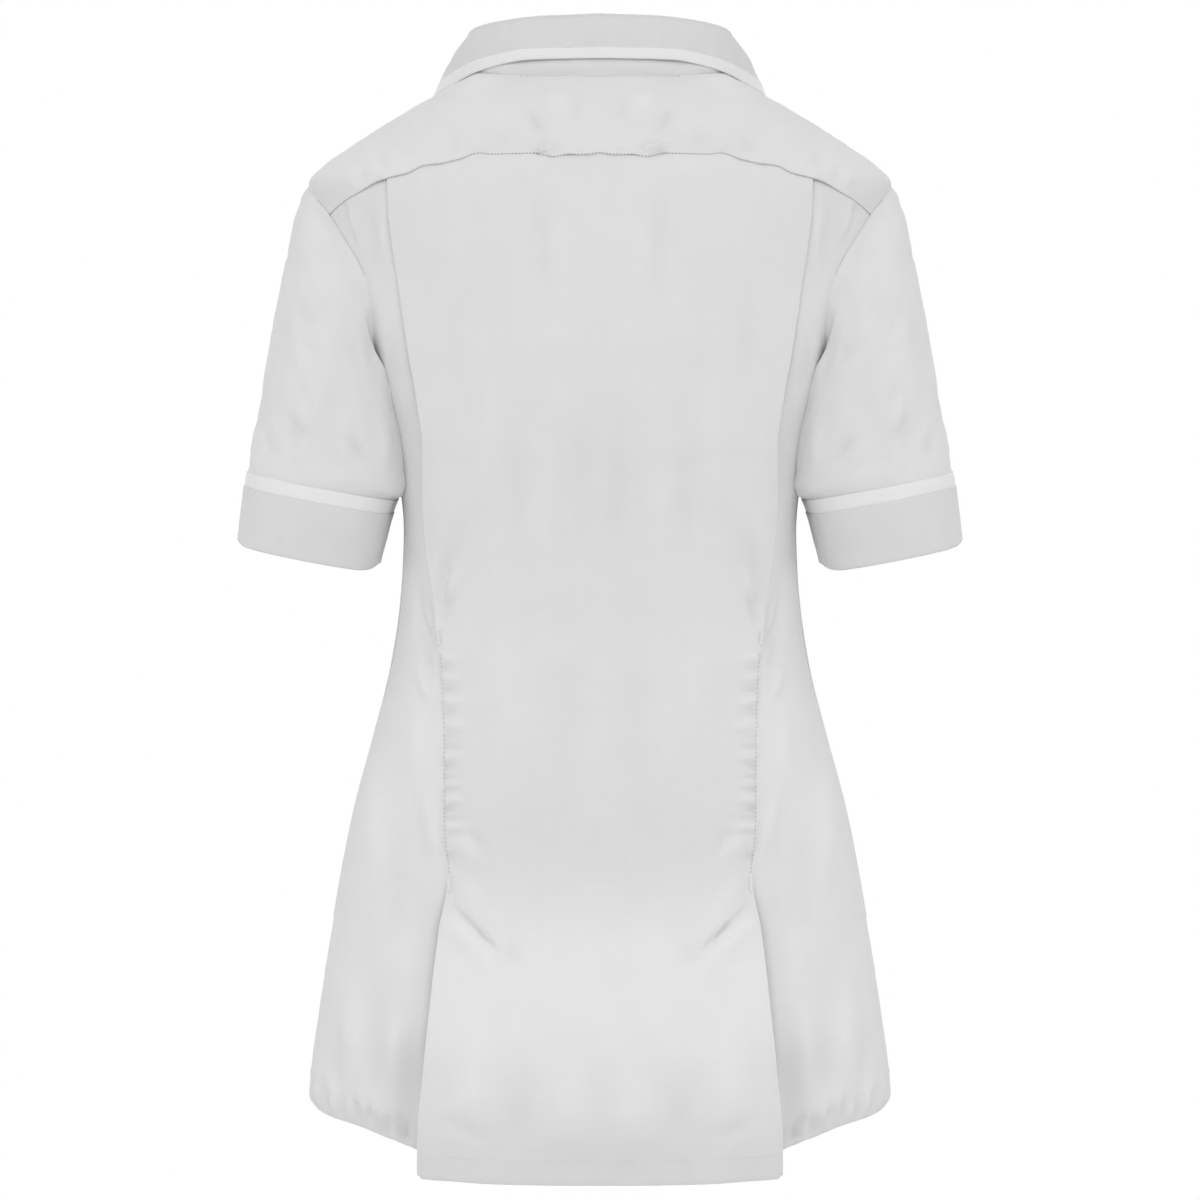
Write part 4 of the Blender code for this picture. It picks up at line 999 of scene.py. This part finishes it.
# --- fronts
FRONT_TURNS = [FRONT_SEAM_TURN, -29, -42, -60, -80, -100, -120, -140, -160, -180]
FRONT_HEM_AT_SIDE = -0.7165


def roll_x(height):
    """Where a front's edge is: on the roll line, and below it at the overlap."""
    return np.maximum(GORGE.x - (GORGE.height - height) / ROLL_SLOPE, -OVERLAP)


def front_lap(places):
    """How far the right front stands out, where it laps over the left one."""
    angle, height = places[..., 0], places[..., 1]
    share = 1 - angle / angle_at_x(roll_x(height), height, False)
    fade_up = ease((FRONT_LAP_TOP - height) / -FRONT_LAP_TOP)
    fade_out = (share - LAP_FULL_SHARE) / (LAP_NONE_SHARE - LAP_FULL_SHARE)
    return FRONT_LAP * fade_up * (1 - np.clip(fade_out, 0.0, 1.0))


def neck_edge(share):
    """Places from the yoke's front corner at the neck (0) to the gorge (1)."""
    gorge = at_x(GORGE.x, GORGE.height, False)
    return blend(neck_corner(), gorge, np.asarray(share)[..., None])


def make_front(sign):
    side = SIDES[sign]
    fine = 9
    outer_turns = refine(FRONT_TURNS, fine)
    hem_side = float(read(FRONT_HEM, "height", width_at(FRONT_HEM_AT_SIDE)))
    heights = refine(spaced(UNDERARM, hem_side, 14), 12)[1:]
    outer = np.concatenate([armhole(outer_turns), at_y(-0.0001, heights)])
    neck_rows = 3 * fine
    roll_rows = len(outer_turns) - neck_rows
    neck = neck_edge(spaced(0, 1, neck_rows))
    heights = spaced(GORGE.height, BREAK_HEIGHT, roll_rows - 1)[1:]
    roll = at_x(roll_x(heights), heights, False)
    below = len(outer) - len(neck) - len(roll)
    heights = spaced(BREAK_HEIGHT, FRONT_HEM[0].height, below)[1:]
    inner = np.concatenate([neck, roll, at_x(-OVERLAP, heights, False)])
    shares = dense_near_end(refine(FRONT_SHARES, 6), FRONT_WIDTH)
    near = at_y(FRONT_YOKE_Y + 0.003, blend(NECK_FRONT_HEIGHT, outer[0, 1], shares))
    near[0], near[-1] = inner[0], outer[0]
    far = down_to_edge(blend(inner[-1, 0], outer[-1, 0], shares), hem_side, FRONT_HEM)
    far[0], far[-1] = inner[-1], outer[-1]
    places = patch(near, far, inner, outer, shares)
    grid = skin(places)
    if sign < 0:
        grid[..., 1] -= front_lap(places)
    x, z = grid[..., 0] * sign, grid[..., 2]
    lift = creased(x, z, FRONT_CREASES, FRONT_CREASE_STRENGTH)
    lift += 0.00012 * mottled(grid, 0.012, 20 + sign)
    lift += 0.00045 * mottled(grid, 0.040, 23 + sign, 0.4)
    from_seam = (1 - shares) * FRONT_WIDTH
    lift *= ease(from_seam / 0.022)
    lift -= SEAM_DIP * bell(from_seam, 0, SEAM_DIP_WIDTH)
    lift *= 1 - 0.85 * bell(grid[..., 0], -0.004, 0.016) * (z < BREAK_HEIGHT)
    return cloth("front_cloth_" + side, ["front_" + side], on_side(grid, sign), WHITE, outward=-1,
                 relief=on_relief(lift, sign), hem=(HEM_RADIUS, HEM_DEPTH))


def make_rever(sign):
    side = SIDES[sign]
    foot_x = REVER_FOOT_X[sign]
    foot = np.array([foot_x, GORGE.height - (GORGE.x - foot_x) * ROLL_SLOPE])
    head = np.array([GORGE.x, GORGE.height]) - 0.0015 * np.array([1, ROLL_SLOPE])
    along = head - foot
    out = np.array([along[1], -along[0]]) / np.linalg.norm(along)
    rows = []
    for share in spaced(0, 1, 44):
        inner = foot + along * share
        width = blend(REVER_FOOT_OUT, REVER_TIP_OUT, share)
        outer = foot + along * REVER_TIP_ALONG * share + out * width
        reach = np.concatenate([spaced(0, 0.1, 5), spaced(0.14, 1, 21)])
        spot = blend(inner[None], outer[None], reach[:, None])
        places = at_x(spot[:, 0], spot[:, 1], False)
        roll = np.clip(reach * width / 0.012, 0, 1)
        lift = 0.0021 + 0.0026 * (1 - ease(roll)) * np.sqrt(np.clip(roll * 3, 0, 1))
        lift += 0.0014 * ease((reach - 0.7) / 0.3) * share
        points = skin(places, lift)
        if sign < 0:
            points[:, 1] -= front_lap(places)
        rows.append(points)
    grid = on_side(np.array(rows), sign)
    lift = 0.00020 * mottled(grid, 0.014, 30 + sign)
    return cloth("rever_cloth_" + side, ["rever_" + side], grid, WHITE, wall=0.0012, relief=lift)


# --- collar
def neck_point(station):
    """Point on the neck's edge, from the middle of the back (0) to the gorge (1)."""
    back = station <= NECK_CORNER_STATION
    angle = blend(90.0, float(neck_corner()[0]), station / NECK_CORNER_STATION)
    round_back = place(angle, read(NECK_SEAM, "height", angle))
    down_front = neck_edge((station - NECK_CORNER_STATION) / (1 - NECK_CORNER_STATION))
    return skin(np.where(back[..., None], round_back, down_front))


def collar_points(station):
    """Points on the collar's seam, its fold and its outer edge."""
    fold, edge = (np.stack([read(COLLAR, line + axis, station) for axis in "xyz"], axis=-1)
                  for line in ("fold_", "edge_"))
    rest = height_under(edge[..., 0], edge[..., 1]) + COLLAR_CLEARANCE
    edge[..., 2] = np.maximum(edge[..., 2], rest)
    return neck_point(station), fold, edge


def level_unit(vectors):
    """Unit vectors along the level part of the given ones."""
    flat = vectors.copy()
    flat[..., 2] = 0.0
    return unit(flat)


def leaf_line(station, share):
    """Outer face of the turned-down leaf, from the fold (0) to its outer edge (1)."""
    _, fold, edge = collar_points(station)
    away = level_unit(edge - fold)
    crown = fold + 0.0024 * away
    bow = blend(0.0020, 0.0026, ease(station / 0.55))[..., None] * math.sin(math.pi * share)
    return blend(crown, edge, share) + bow * (away + np.array([0, 0, 0.7])) + 0.0004 * away


COLLAR_STATIONS = spaced(0, 1, 120)
UNDER_TRIM_SHARE = COLLAR_TRIM_SHARE + 0.03
STAND_BULGE = 0.0042


def make_stand():
    station = COLLAR_STATIONS[:-6]
    base, fold, _ = collar_points(station)
    away = level_unit(base)
    start = base - away * 0.0003 - np.array([0, 0, 0.0016])
    top = fold - np.array([0, 0, 0.0030])
    rows = []
    for share in spaced(0, 1, 24):
        bulge = STAND_BULGE * ease(share / 0.22) * (1 - ease((share - 0.25) / 0.6))
        rows.append(blend(start, top, share) + away * bulge)
    grid = np.array(rows)[::-1]
    return cloth("collar_stand_cloth", ["collar_stand"], full_width(grid), WHITE,
                 relief=0.00015 * mottled(full_width(grid), 0.012, 40), wall=0.0009)


def make_leaf():
    """Upper collar: up the inside of the stand, over the fold and down the outside."""
    base, fold, edge = collar_points(COLLAR_STATIONS)
    away = level_unit(edge - fold)
    inside = base - level_unit(base) * 0.0022
    rows = [blend(inside, fold - away * 0.0012, share) for share in spaced(0, 0.94, 11)]
    for turn in np.radians((150, 120, 90, 60, 30)):
        rise = np.array([0, 0, 0.0020 * math.sin(turn) - 0.0012])
        rows.append(fold + away * (0.0016 + 0.0026 * math.cos(turn)) + rise)
    for share in (*spaced(0.05, COLLAR_TRIM_SHARE, 14), UNDER_TRIM_SHARE):
        rows.append(leaf_line(COLLAR_STATIONS, share))
    grid = full_width(np.array(rows))
    lift = 0.00034 * mottled(grid, 0.012, 41, 0.7) + 0.00030 * mottled(grid, 0.030, 42)
    lift *= blend(0.25, 1.0, ease((np.arange(len(grid)) - 15) / 5))[:, None]
    # The leaf wears the darker copy of the white cloth: painted shade
    return cloth("collar_leaf_cloth", ["collar_leaf"], grid, SHADED_WHITE, relief=lift, wall=0.0010)


def make_collar_trim():
    shares = (COLLAR_TRIM_SHARE, UNDER_TRIM_SHARE, 0.88, 0.93, 0.97, 1.0)
    grid = full_width(np.array([leaf_line(COLLAR_STATIONS, share) for share in shares]))
    lift = np.full(grid.shape[:2], 0.0008)
    lift[0] = 0.0004
    lift += 0.00012 * mottled(grid, 0.010, 43)
    return cloth("collar_trim_cloth", ["collar_trim"], grid, TRIM, relief=lift, wall=0.0007,
                 hem=(0.0010, 0.0080))


# --- sleeves and cuffs
TUBE_TURNS = spaced(0, 360, 132)[:-1]


def tube(table, share, turn, squareness=2.0):
    """Ring of a sleeve at each share of its length; its side by the body may be squarer."""
    outer, inner = (
        np.stack([read(table, side + "_x", share), 0 * share, read(table, side + "_z", share)], -1)
        for side in ("outer", "inner"))
    half_depth = read(table, "half_depth", share)[..., None] * np.array([0, 1, 0])
    turn = np.radians(turn)
    power = np.where(np.cos(turn) < 0, 2 / squareness, 1.0)
    cos, sin = signed_power(np.cos(turn), power), signed_power(np.sin(turn), power)
    return (outer + inner) / 2 + (outer - inner) / 2 * cos[..., None] + half_depth * sin[..., None]


def clear_of_side(points):
    """Keeps a sleeve's points out of the garment's side."""
    least = side_x(points[..., 1], points[..., 2]) + SIDE_CLEARANCE
    press = (points[..., 0] < least) & (points[..., 2] < ARMHOLE_HEIGHT)
    points[..., 0] = np.where(press, least, points[..., 0])
    return points


def make_sleeve(sign):
    side = SIDES[sign]
    turn = TUBE_TURNS[None]
    share = np.concatenate([[0.0, 0.006, 0.014], spaced(0.03, 1.0, 67), [1.02, 1.04]])[:, None]
    share, turn = np.broadcast_arrays(share, turn)
    edge = skin(armhole(turn[0]))
    edge[:, 1] += pushed(*edge.T)
    hold = np.maximum(1 - share / 0.5, 0)[..., None] ** 2
    squareness = 2 + (INNER_SQUARENESS - 2) * ease(share / 0.16)
    zero = np.zeros_like(turn[:1])
    grid = tube(SLEEVE, share, turn, squareness)
    grid += hold * (edge[None] - tube(SLEEVE, zero, turn[:1]))
    under_trim = share[:, 0] > 1
    grid[under_trim] = tube(CUFF, (share[under_trim] - 1) * 4, turn[under_trim], INNER_SQUARENESS)
    tucked = skin(armhole(turn[0], -0.0020), -0.0013)
    tucked[:, 1] += pushed(*tucked.T)
    grid = clear_of_side(grid)
    grid[0] = tucked
    x, y, z = np.moveaxis(grid, -1, 0)
    lift = creased(x, z, SLEEVE_BACK_CREASES) * ease((y - 0.01) / 0.02)
    lift += creased(x, z, SLEEVE_FRONT_CREASES) * ease((-y - 0.01) / 0.02)
    leaning = grid @ np.array([[1.0, 0.0, 0.45], [0.0, 1.0, 0.0], [-0.45, 0.0, 1.0]])
    lift += 0.00036 * mottled(leaning, 0.010, 50, 0.6)
    lift += 0.00070 * mottled(leaning, 0.024, 53, 0.5)
    lift += 0.0048 * bell(turn, 158, 34) * ease((share - 0.86) / 0.10)
    lift *= ease(share / 0.05) * (1 - ease((share - 0.965) / 0.03))
    lift -= 0.0007 * ease((share - 1.0) / 0.02)
    return cloth("sleeve_cloth_" + side, ["sleeve_" + side], on_side(grid, sign), WHITE,
                 outward=-1, relief=on_relief(lift, sign), closed=True)


def make_cuff(sign, part, low, high, look, lifted, hem, wall):
    """The cuff, or its trim, between two shares of its length."""
    side = SIDES[sign]
    turn = TUBE_TURNS[None]
    steps = max(round((high - low) * 0.05 / 0.0022), 4)
    share, turn = np.broadcast_arrays(spaced(low, high, steps)[:, None], turn)
    rounding = CUFF_CORNER * np.abs(np.cos(np.radians(turn))) ** 12 * share**4
    grid = clear_of_side(tube(CUFF, share * (1 - rounding), turn, INNER_SQUARENESS))
    lift = lifted + 0.00024 * mottled(grid, 0.014, 60, 0.5)
    lift += 0.00045 * mottled(grid, 0.030, 63, 0.4)
    return cloth(part + "_cloth_" + side, [part + "_" + side], on_side(grid, sign), look,
                 outward=-1, relief=on_relief(lift, sign), closed=True, hem=hem, wall=wall)


# --- buttons
BUTTON_PROFILE = [
    (0.0, 0.0006), (0.0046, 0.0006), (0.0054, 0.0010), (0.0062, 0.0014), (0.0070, 0.0013),
    (0.0075, 0.0008), (0.0075, 0.0000), (0.0071, -0.0008), (0.0060, -0.0011), (0.0, -0.0011),
]
HOLE_FROM_MIDDLE, HOLE_RADIUS = 0.0013, 0.00065
BUTTONHOLE_HALF, BUTTONHOLE_SHIFT = 0.0095, -0.0030
BUTTONHOLE_THREAD = 0.00026


def make_button(number, height):
    """Four-hole button with a raised rim, sewn on with crossed thread."""
    low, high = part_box("button_%d" % number)
    centre = (Vector(low) + Vector(high)) / 2
    above, below = skin(place(-90.0, np.array([height + 0.006, height - 0.006])))
    lean = math.atan2(above[1] - below[1], above[2] - below[2])
    shape = bmesh.new()
    points = [shape.verts.new((radius, -depth, 0.0)) for radius, depth in BUTTON_PROFILE]
    edges = [shape.edges.new(pair) for pair in zip(points, points[1:])]
    bmesh.ops.spin(shape, geom=points + edges, cent=(0, 0, 0), axis=(0, 1, 0), angle=2 * math.pi,
                   steps=40, use_merge=True)
    bmesh.ops.remove_doubles(shape, verts=shape.verts, dist=0.00001)
    bmesh.ops.recalc_face_normals(shape, faces=shape.faces)
    mesh = bpy.data.meshes.new("button_body_%d" % number)
    shape.to_mesh(mesh)
    shape.free()
    button = add_object("button_body_%d" % number, mesh)
    for x in (-HOLE_FROM_MIDDLE, HOLE_FROM_MIDDLE):
        for z in (-HOLE_FROM_MIDDLE, HOLE_FROM_MIDDLE):
            bpy.ops.mesh.primitive_cylinder_add(vertices=12, radius=HOLE_RADIUS, depth=0.01,
                                                location=(x, 0, z), rotation=(math.pi / 2, 0, 0))
            drill = bpy.context.object
            cut = button.modifiers.new("Hole", "BOOLEAN")
            cut.operation = "DIFFERENCE"
            cut.object = drill
            bpy.context.view_layer.objects.active = button
            bpy.context.view_layer.update()
            with bpy.context.temp_override(object=button, active_object=button):
                bpy.ops.object.modifier_apply(modifier="Hole")
            bpy.data.objects.remove(drill)
    cos, sin = math.cos(-lean), math.sin(-lean)
    for vertex in mesh.vertices:
        x, y, z = vertex.co
        vertex.co = centre + Vector((x, y * cos - z * sin, y * sin + z * cos))
    mesh.shade_smooth()
    mesh.set_sharp_from_angle(angle=math.radians(40))
    dress(button, PLASTIC, ["button_%d" % number])
    out, up = np.array([0.0, -cos, -sin]), np.array([0.0, -sin, cos])
    middle = np.array(centre) + out * 0.0006
    stitches = []
    for rise in (1, -1):
        for shift in (-0.00022, 0.00022):
            a, b = (middle + HOLE_FROM_MIDDLE * end * (OUT_LEFT + rise * up) + shift * OUT_LEFT
                    for end in (-1, 1))
            stitches.append((a, b, out))
    sewn("button_thread_%d" % number, stitches, THREAD, 0.0003)
    return centre, out, up


def make_buttonhole(number, centre, out, up):
    """Worked slit beside the button: short stitches on both sides of the cut."""
    middle = np.array(centre) - out * 0.0013 + BUTTONHOLE_SHIFT * OUT_LEFT
    stitches = []
    for along in BUTTONHOLE_HALF * (np.arange(34) / 17 - 1):
        for side in (-1, 1):
            spot = middle + along * OUT_LEFT
            stitches.append((spot + up * side * 0.0002, spot + up * side * 0.0014, out))
    for along in (-BUTTONHOLE_HALF, BUTTONHOLE_HALF):
        for k in range(-3, 4):
            spot = middle + along * OUT_LEFT + up * k * 0.0004
            stitches.append((spot - 0.0006 * OUT_LEFT, spot + 0.0006 * OUT_LEFT, out))
    sewn("buttonhole_%d" % number, stitches, THREAD, BUTTONHOLE_THREAD)


# --- the pleats' stitching
UPPER_BARTACK = (-0.3718, -0.3812)
LOWER_BARTACK = (-0.5395, -0.5494)
SEWN_BOTTOM, SEWN_TOP = -0.5375, -0.3835


def near_fold(centre_back, sign, inset, z):
    """Point on the centre back's outermost cloth, this far in from its fold."""
    x = sign * (float(pleat_x(z)) - inset)
    flat = centre_back.points.reshape(-1, 3)
    nearest = np.argsort(np.hypot(flat[:, 0] - x, flat[:, 2] - z))[:6]
    return np.array([x, flat[nearest, 1].max(), z])


def bartack(name, centre_back, top, bottom):
    """Dense bar of thread that holds the end of the pleat's seam, on the fold."""
    stitches, half = [], 0.0008 * OUT_LEFT
    for z in spaced(top, bottom, 23):
        for sign in SIDES:
            spot = near_fold(centre_back, sign, 0.0014, z) + 0.0004 * OUT_BACK
            stitches.append((spot - half, spot + half, OUT_BACK))
    sewn(name, stitches, BRIGHT_THREAD, 0.00048)


def pleat_stitches(name, centre_back):
    """Edge stitching of the sewn part of both pleats, just in from the fold: its grey is painted
    shadow of the fold's edge.
    """
    stitches = []
    for z in np.arange(SEWN_BOTTOM, SEWN_TOP, 0.0029):
        for sign in SIDES:
            ends = [near_fold(centre_back, sign, 0.0012, height) for height in (z, z + 0.0020)]
            stitches.append((*ends, OUT_BACK))
    sewn(name, stitches, SEAM_SHADE_GREY, 0.00022)


# --- the garment
yoke = make_yoke()
centre_back = make_centre_back()
side_backs = {sign: make_side_back(sign) for sign in SIDES}
fronts = {sign: make_front(sign) for sign in SIDES}
revers = {sign: make_rever(sign) for sign in SIDES}
stand = make_stand()
leaf = make_leaf()
collar_trim = make_collar_trim()
sleeves = {sign: make_sleeve(sign) for sign in SIDES}
cuff_trims = {sign: make_cuff(sign, "cuff_trim", 0.0, CUFF_TRIM_SHARE + 0.02, TRIM,
                              0.0008, None, 0.0006) for sign in SIDES}
# The cuffs wear the darker copy of the white cloth: painted shade
cuffs = {sign: make_cuff(sign, "cuff", CUFF_TRIM_SHARE, 1.0, SHADED_WHITE,
                         0.0014, (0.0012, 0.040), 0.0009) for sign in SIDES}
for number, height in enumerate(BUTTON_HEIGHTS, 1):
    make_buttonhole(number, *make_button(number, height))

stitched("hem_stitches_centre", *row_at(centre_back, HEM_DEPTH), BRIGHT_THREAD)
for sign, side in SIDES.items():
    cuff = cuffs[sign]
    front_edge = down_edge(fronts[sign], sign, 0.005, BREAK_HEIGHT)
    stitched("hem_stitches_back_" + side, *row_at(side_backs[sign], HEM_DEPTH), BRIGHT_THREAD)
    stitched("hem_stitches_front_" + side, *row_at(fronts[sign], HEM_DEPTH), THREAD)
    stitched("cuff_stitches_" + side, cuff.points[1], -cuff.normals[1], THREAD)
    stitched("front_edge_stitches_" + side, *front_edge, THREAD)
    stitched("rever_stitches_" + side, *down_edge(revers[sign], -sign, 0.004, 0.0), THREAD)
# Stitches in near-black along the yoke's edge: painted shadow of the seam's gap
stitched("yoke_stitches", *row_at(yoke, 0.0003, 0.0), YOKE_EDGE_SHADOW_THREAD, 0.0024, 0.0015, 0.00026)
neck = Cloth(yoke.points[::-1], yoke.normals[::-1], yoke.piece)
overlocked("neck_stitches", row_at(neck, 0.0006), row_at(neck, 0.0026), 0.0017)
for sign, side in SIDES.items():
    armhole_seam("armhole_seam_" + side, sign)
pleat_stitches("pleat_stitches", centre_back)
bartack("bartacks_upper", centre_back, *UPPER_BARTACK)
bartack("bartacks_lower", centre_back, *LOWER_BARTACK)


# --- how each piece was cut
# Width, length and area of what shows, hems and folds let out, and what it hangs from
Cut = namedtuple("Cut", "sheet width length area held rests_on with_pieces")


def threads(*names):
    return [bpy.data.objects[name] for name in names]


cuts = [
    Cut(yoke, 0.636, 0.178, 0.0462, "draped", [], threads("yoke_stitches", "neck_stitches")),
    Cut(centre_back, 0.360, 0.758, 0.2280, "hung", [yoke],
        threads("hem_stitches_centre", "pleat_stitches", "bartacks_upper", "bartacks_lower")),
    Cut(stand, 0.431, 0.045, 0.0139, "folded", [yoke], []),
    Cut(leaf, 0.484, 0.082, 0.0306, "folded", [stand], []),
    Cut(collar_trim, 0.493, 0.024, 0.0092, "folded", [leaf], []),
]
for sign, side in SIDES.items():
    back, front, rever, sleeve = side_backs[sign], fronts[sign], revers[sign], sleeves[sign]
    cuts += [
        Cut(back, 0.176, 0.706, 0.0806, "hung", [yoke], threads("hem_stitches_back_" + side)),
        Cut(front, 0.310, 0.836, 0.1810, "hung", [yoke],
            threads("hem_stitches_front_" + side, "front_edge_stitches_" + side)),
        Cut(rever, *REVER_CUT[sign], "folded", [front], threads("rever_stitches_" + side)),
        Cut(sleeve, 0.452, 0.220, 0.0647, "hung", [yoke, back, front], []),
        Cut(cuffs[sign], 0.392, 0.087, 0.0318, "folded", [sleeve],
            threads("cuff_stitches_" + side)),
        Cut(cuff_trims[sign], 0.392, 0.012, 0.0046, "folded", [sleeve], []),
    ]


# --- stage, light and camera
def make_stage():
    bpy.ops.mesh.primitive_circle_add(vertices=96, radius=FLOOR_RADIUS, fill_type="NGON",
                                      location=(0, 0, FLOOR_HEIGHT))
    floor = bpy.context.object
    floor.name = "floor"
    made, tree, shader = material("pale_floor", {
        "Base Color": FLOOR_COLOUR, "Roughness": 0.9, "Emission Color": (1.0, 1.0, 1.0, 1.0)})
    where = node(tree, "TexCoord").outputs["Object"]
    from_middle = node(tree, "VectorMath", {0: where}, operation="LENGTH").outputs["Value"]
    share = maths(tree, "DIVIDE", from_middle, FLOOR_RADIUS)
    # Painted light: the floor glows, more and more towards its rim, though it is no lamp
    fill(tree, shader, {"Emission Strength": maths(tree, "POWER", share, 3.0)})
    floor.data.materials.append(made)


def make_world():
    world = bpy.data.worlds.new("studio")
    world.use_nodes = True
    tree = world.node_tree
    split = node(tree, "SeparateXYZ", {"Vector": node(tree, "TexCoord").outputs["Generated"]})
    sky = maths(tree, "ADD", maths(tree, "MULTIPLY", split.outputs["Z"], SKY_RISE), SKY_LEVEL)
    seen = node(tree, "LightPath").outputs["Is Camera Ray"]
    fill(tree, tree.nodes["Background"], {
        "Color": (1.0, 1.0, 1.0, 1.0), "Strength": maths(tree, "MAXIMUM", sky, seen)})
    bpy.context.scene.world = world


def area_light(name, place_at, aim_height, size, power):
    data = bpy.data.lights.new(name, "AREA")
    data.shape = "RECTANGLE"
    data.size, data.size_y = size
    data.energy = power
    light = add_object(name, data)
    light.location = place_at
    direction = Vector((0, 0, aim_height)) - Vector(place_at)
    light.rotation_euler = direction.to_track_quat("-Z", "Y").to_euler()


def make_camera():
    data = bpy.data.cameras.new("camera")
    data.lens = CAMERA_LENS
    data.sensor_width = CAMERA_SENSOR
    camera = add_object("camera", data)
    camera.location = CAMERA_PLACE
    camera.rotation_euler = (math.radians(90 - CAMERA_DOWN), 0, math.pi)
    bpy.context.scene.camera = camera


make_stage()
make_world()
for name, depth in (("key", LIGHT_DEPTH), ("fill", -LIGHT_DEPTH)):
    area_light(name, (0, depth, LIGHT_HEIGHT), -0.30, LIGHT_SIZE, LIGHT_POWER)
for sign, side in SIDES.items():
    x, y, z = SIDE_LIGHT_PLACE
    area_light(side, (sign * x, y, z), -0.35, SIDE_LIGHT_SIZE, SIDE_LIGHT_POWER)
make_camera()
bpy.context.scene.view_settings.view_transform = "Standard"
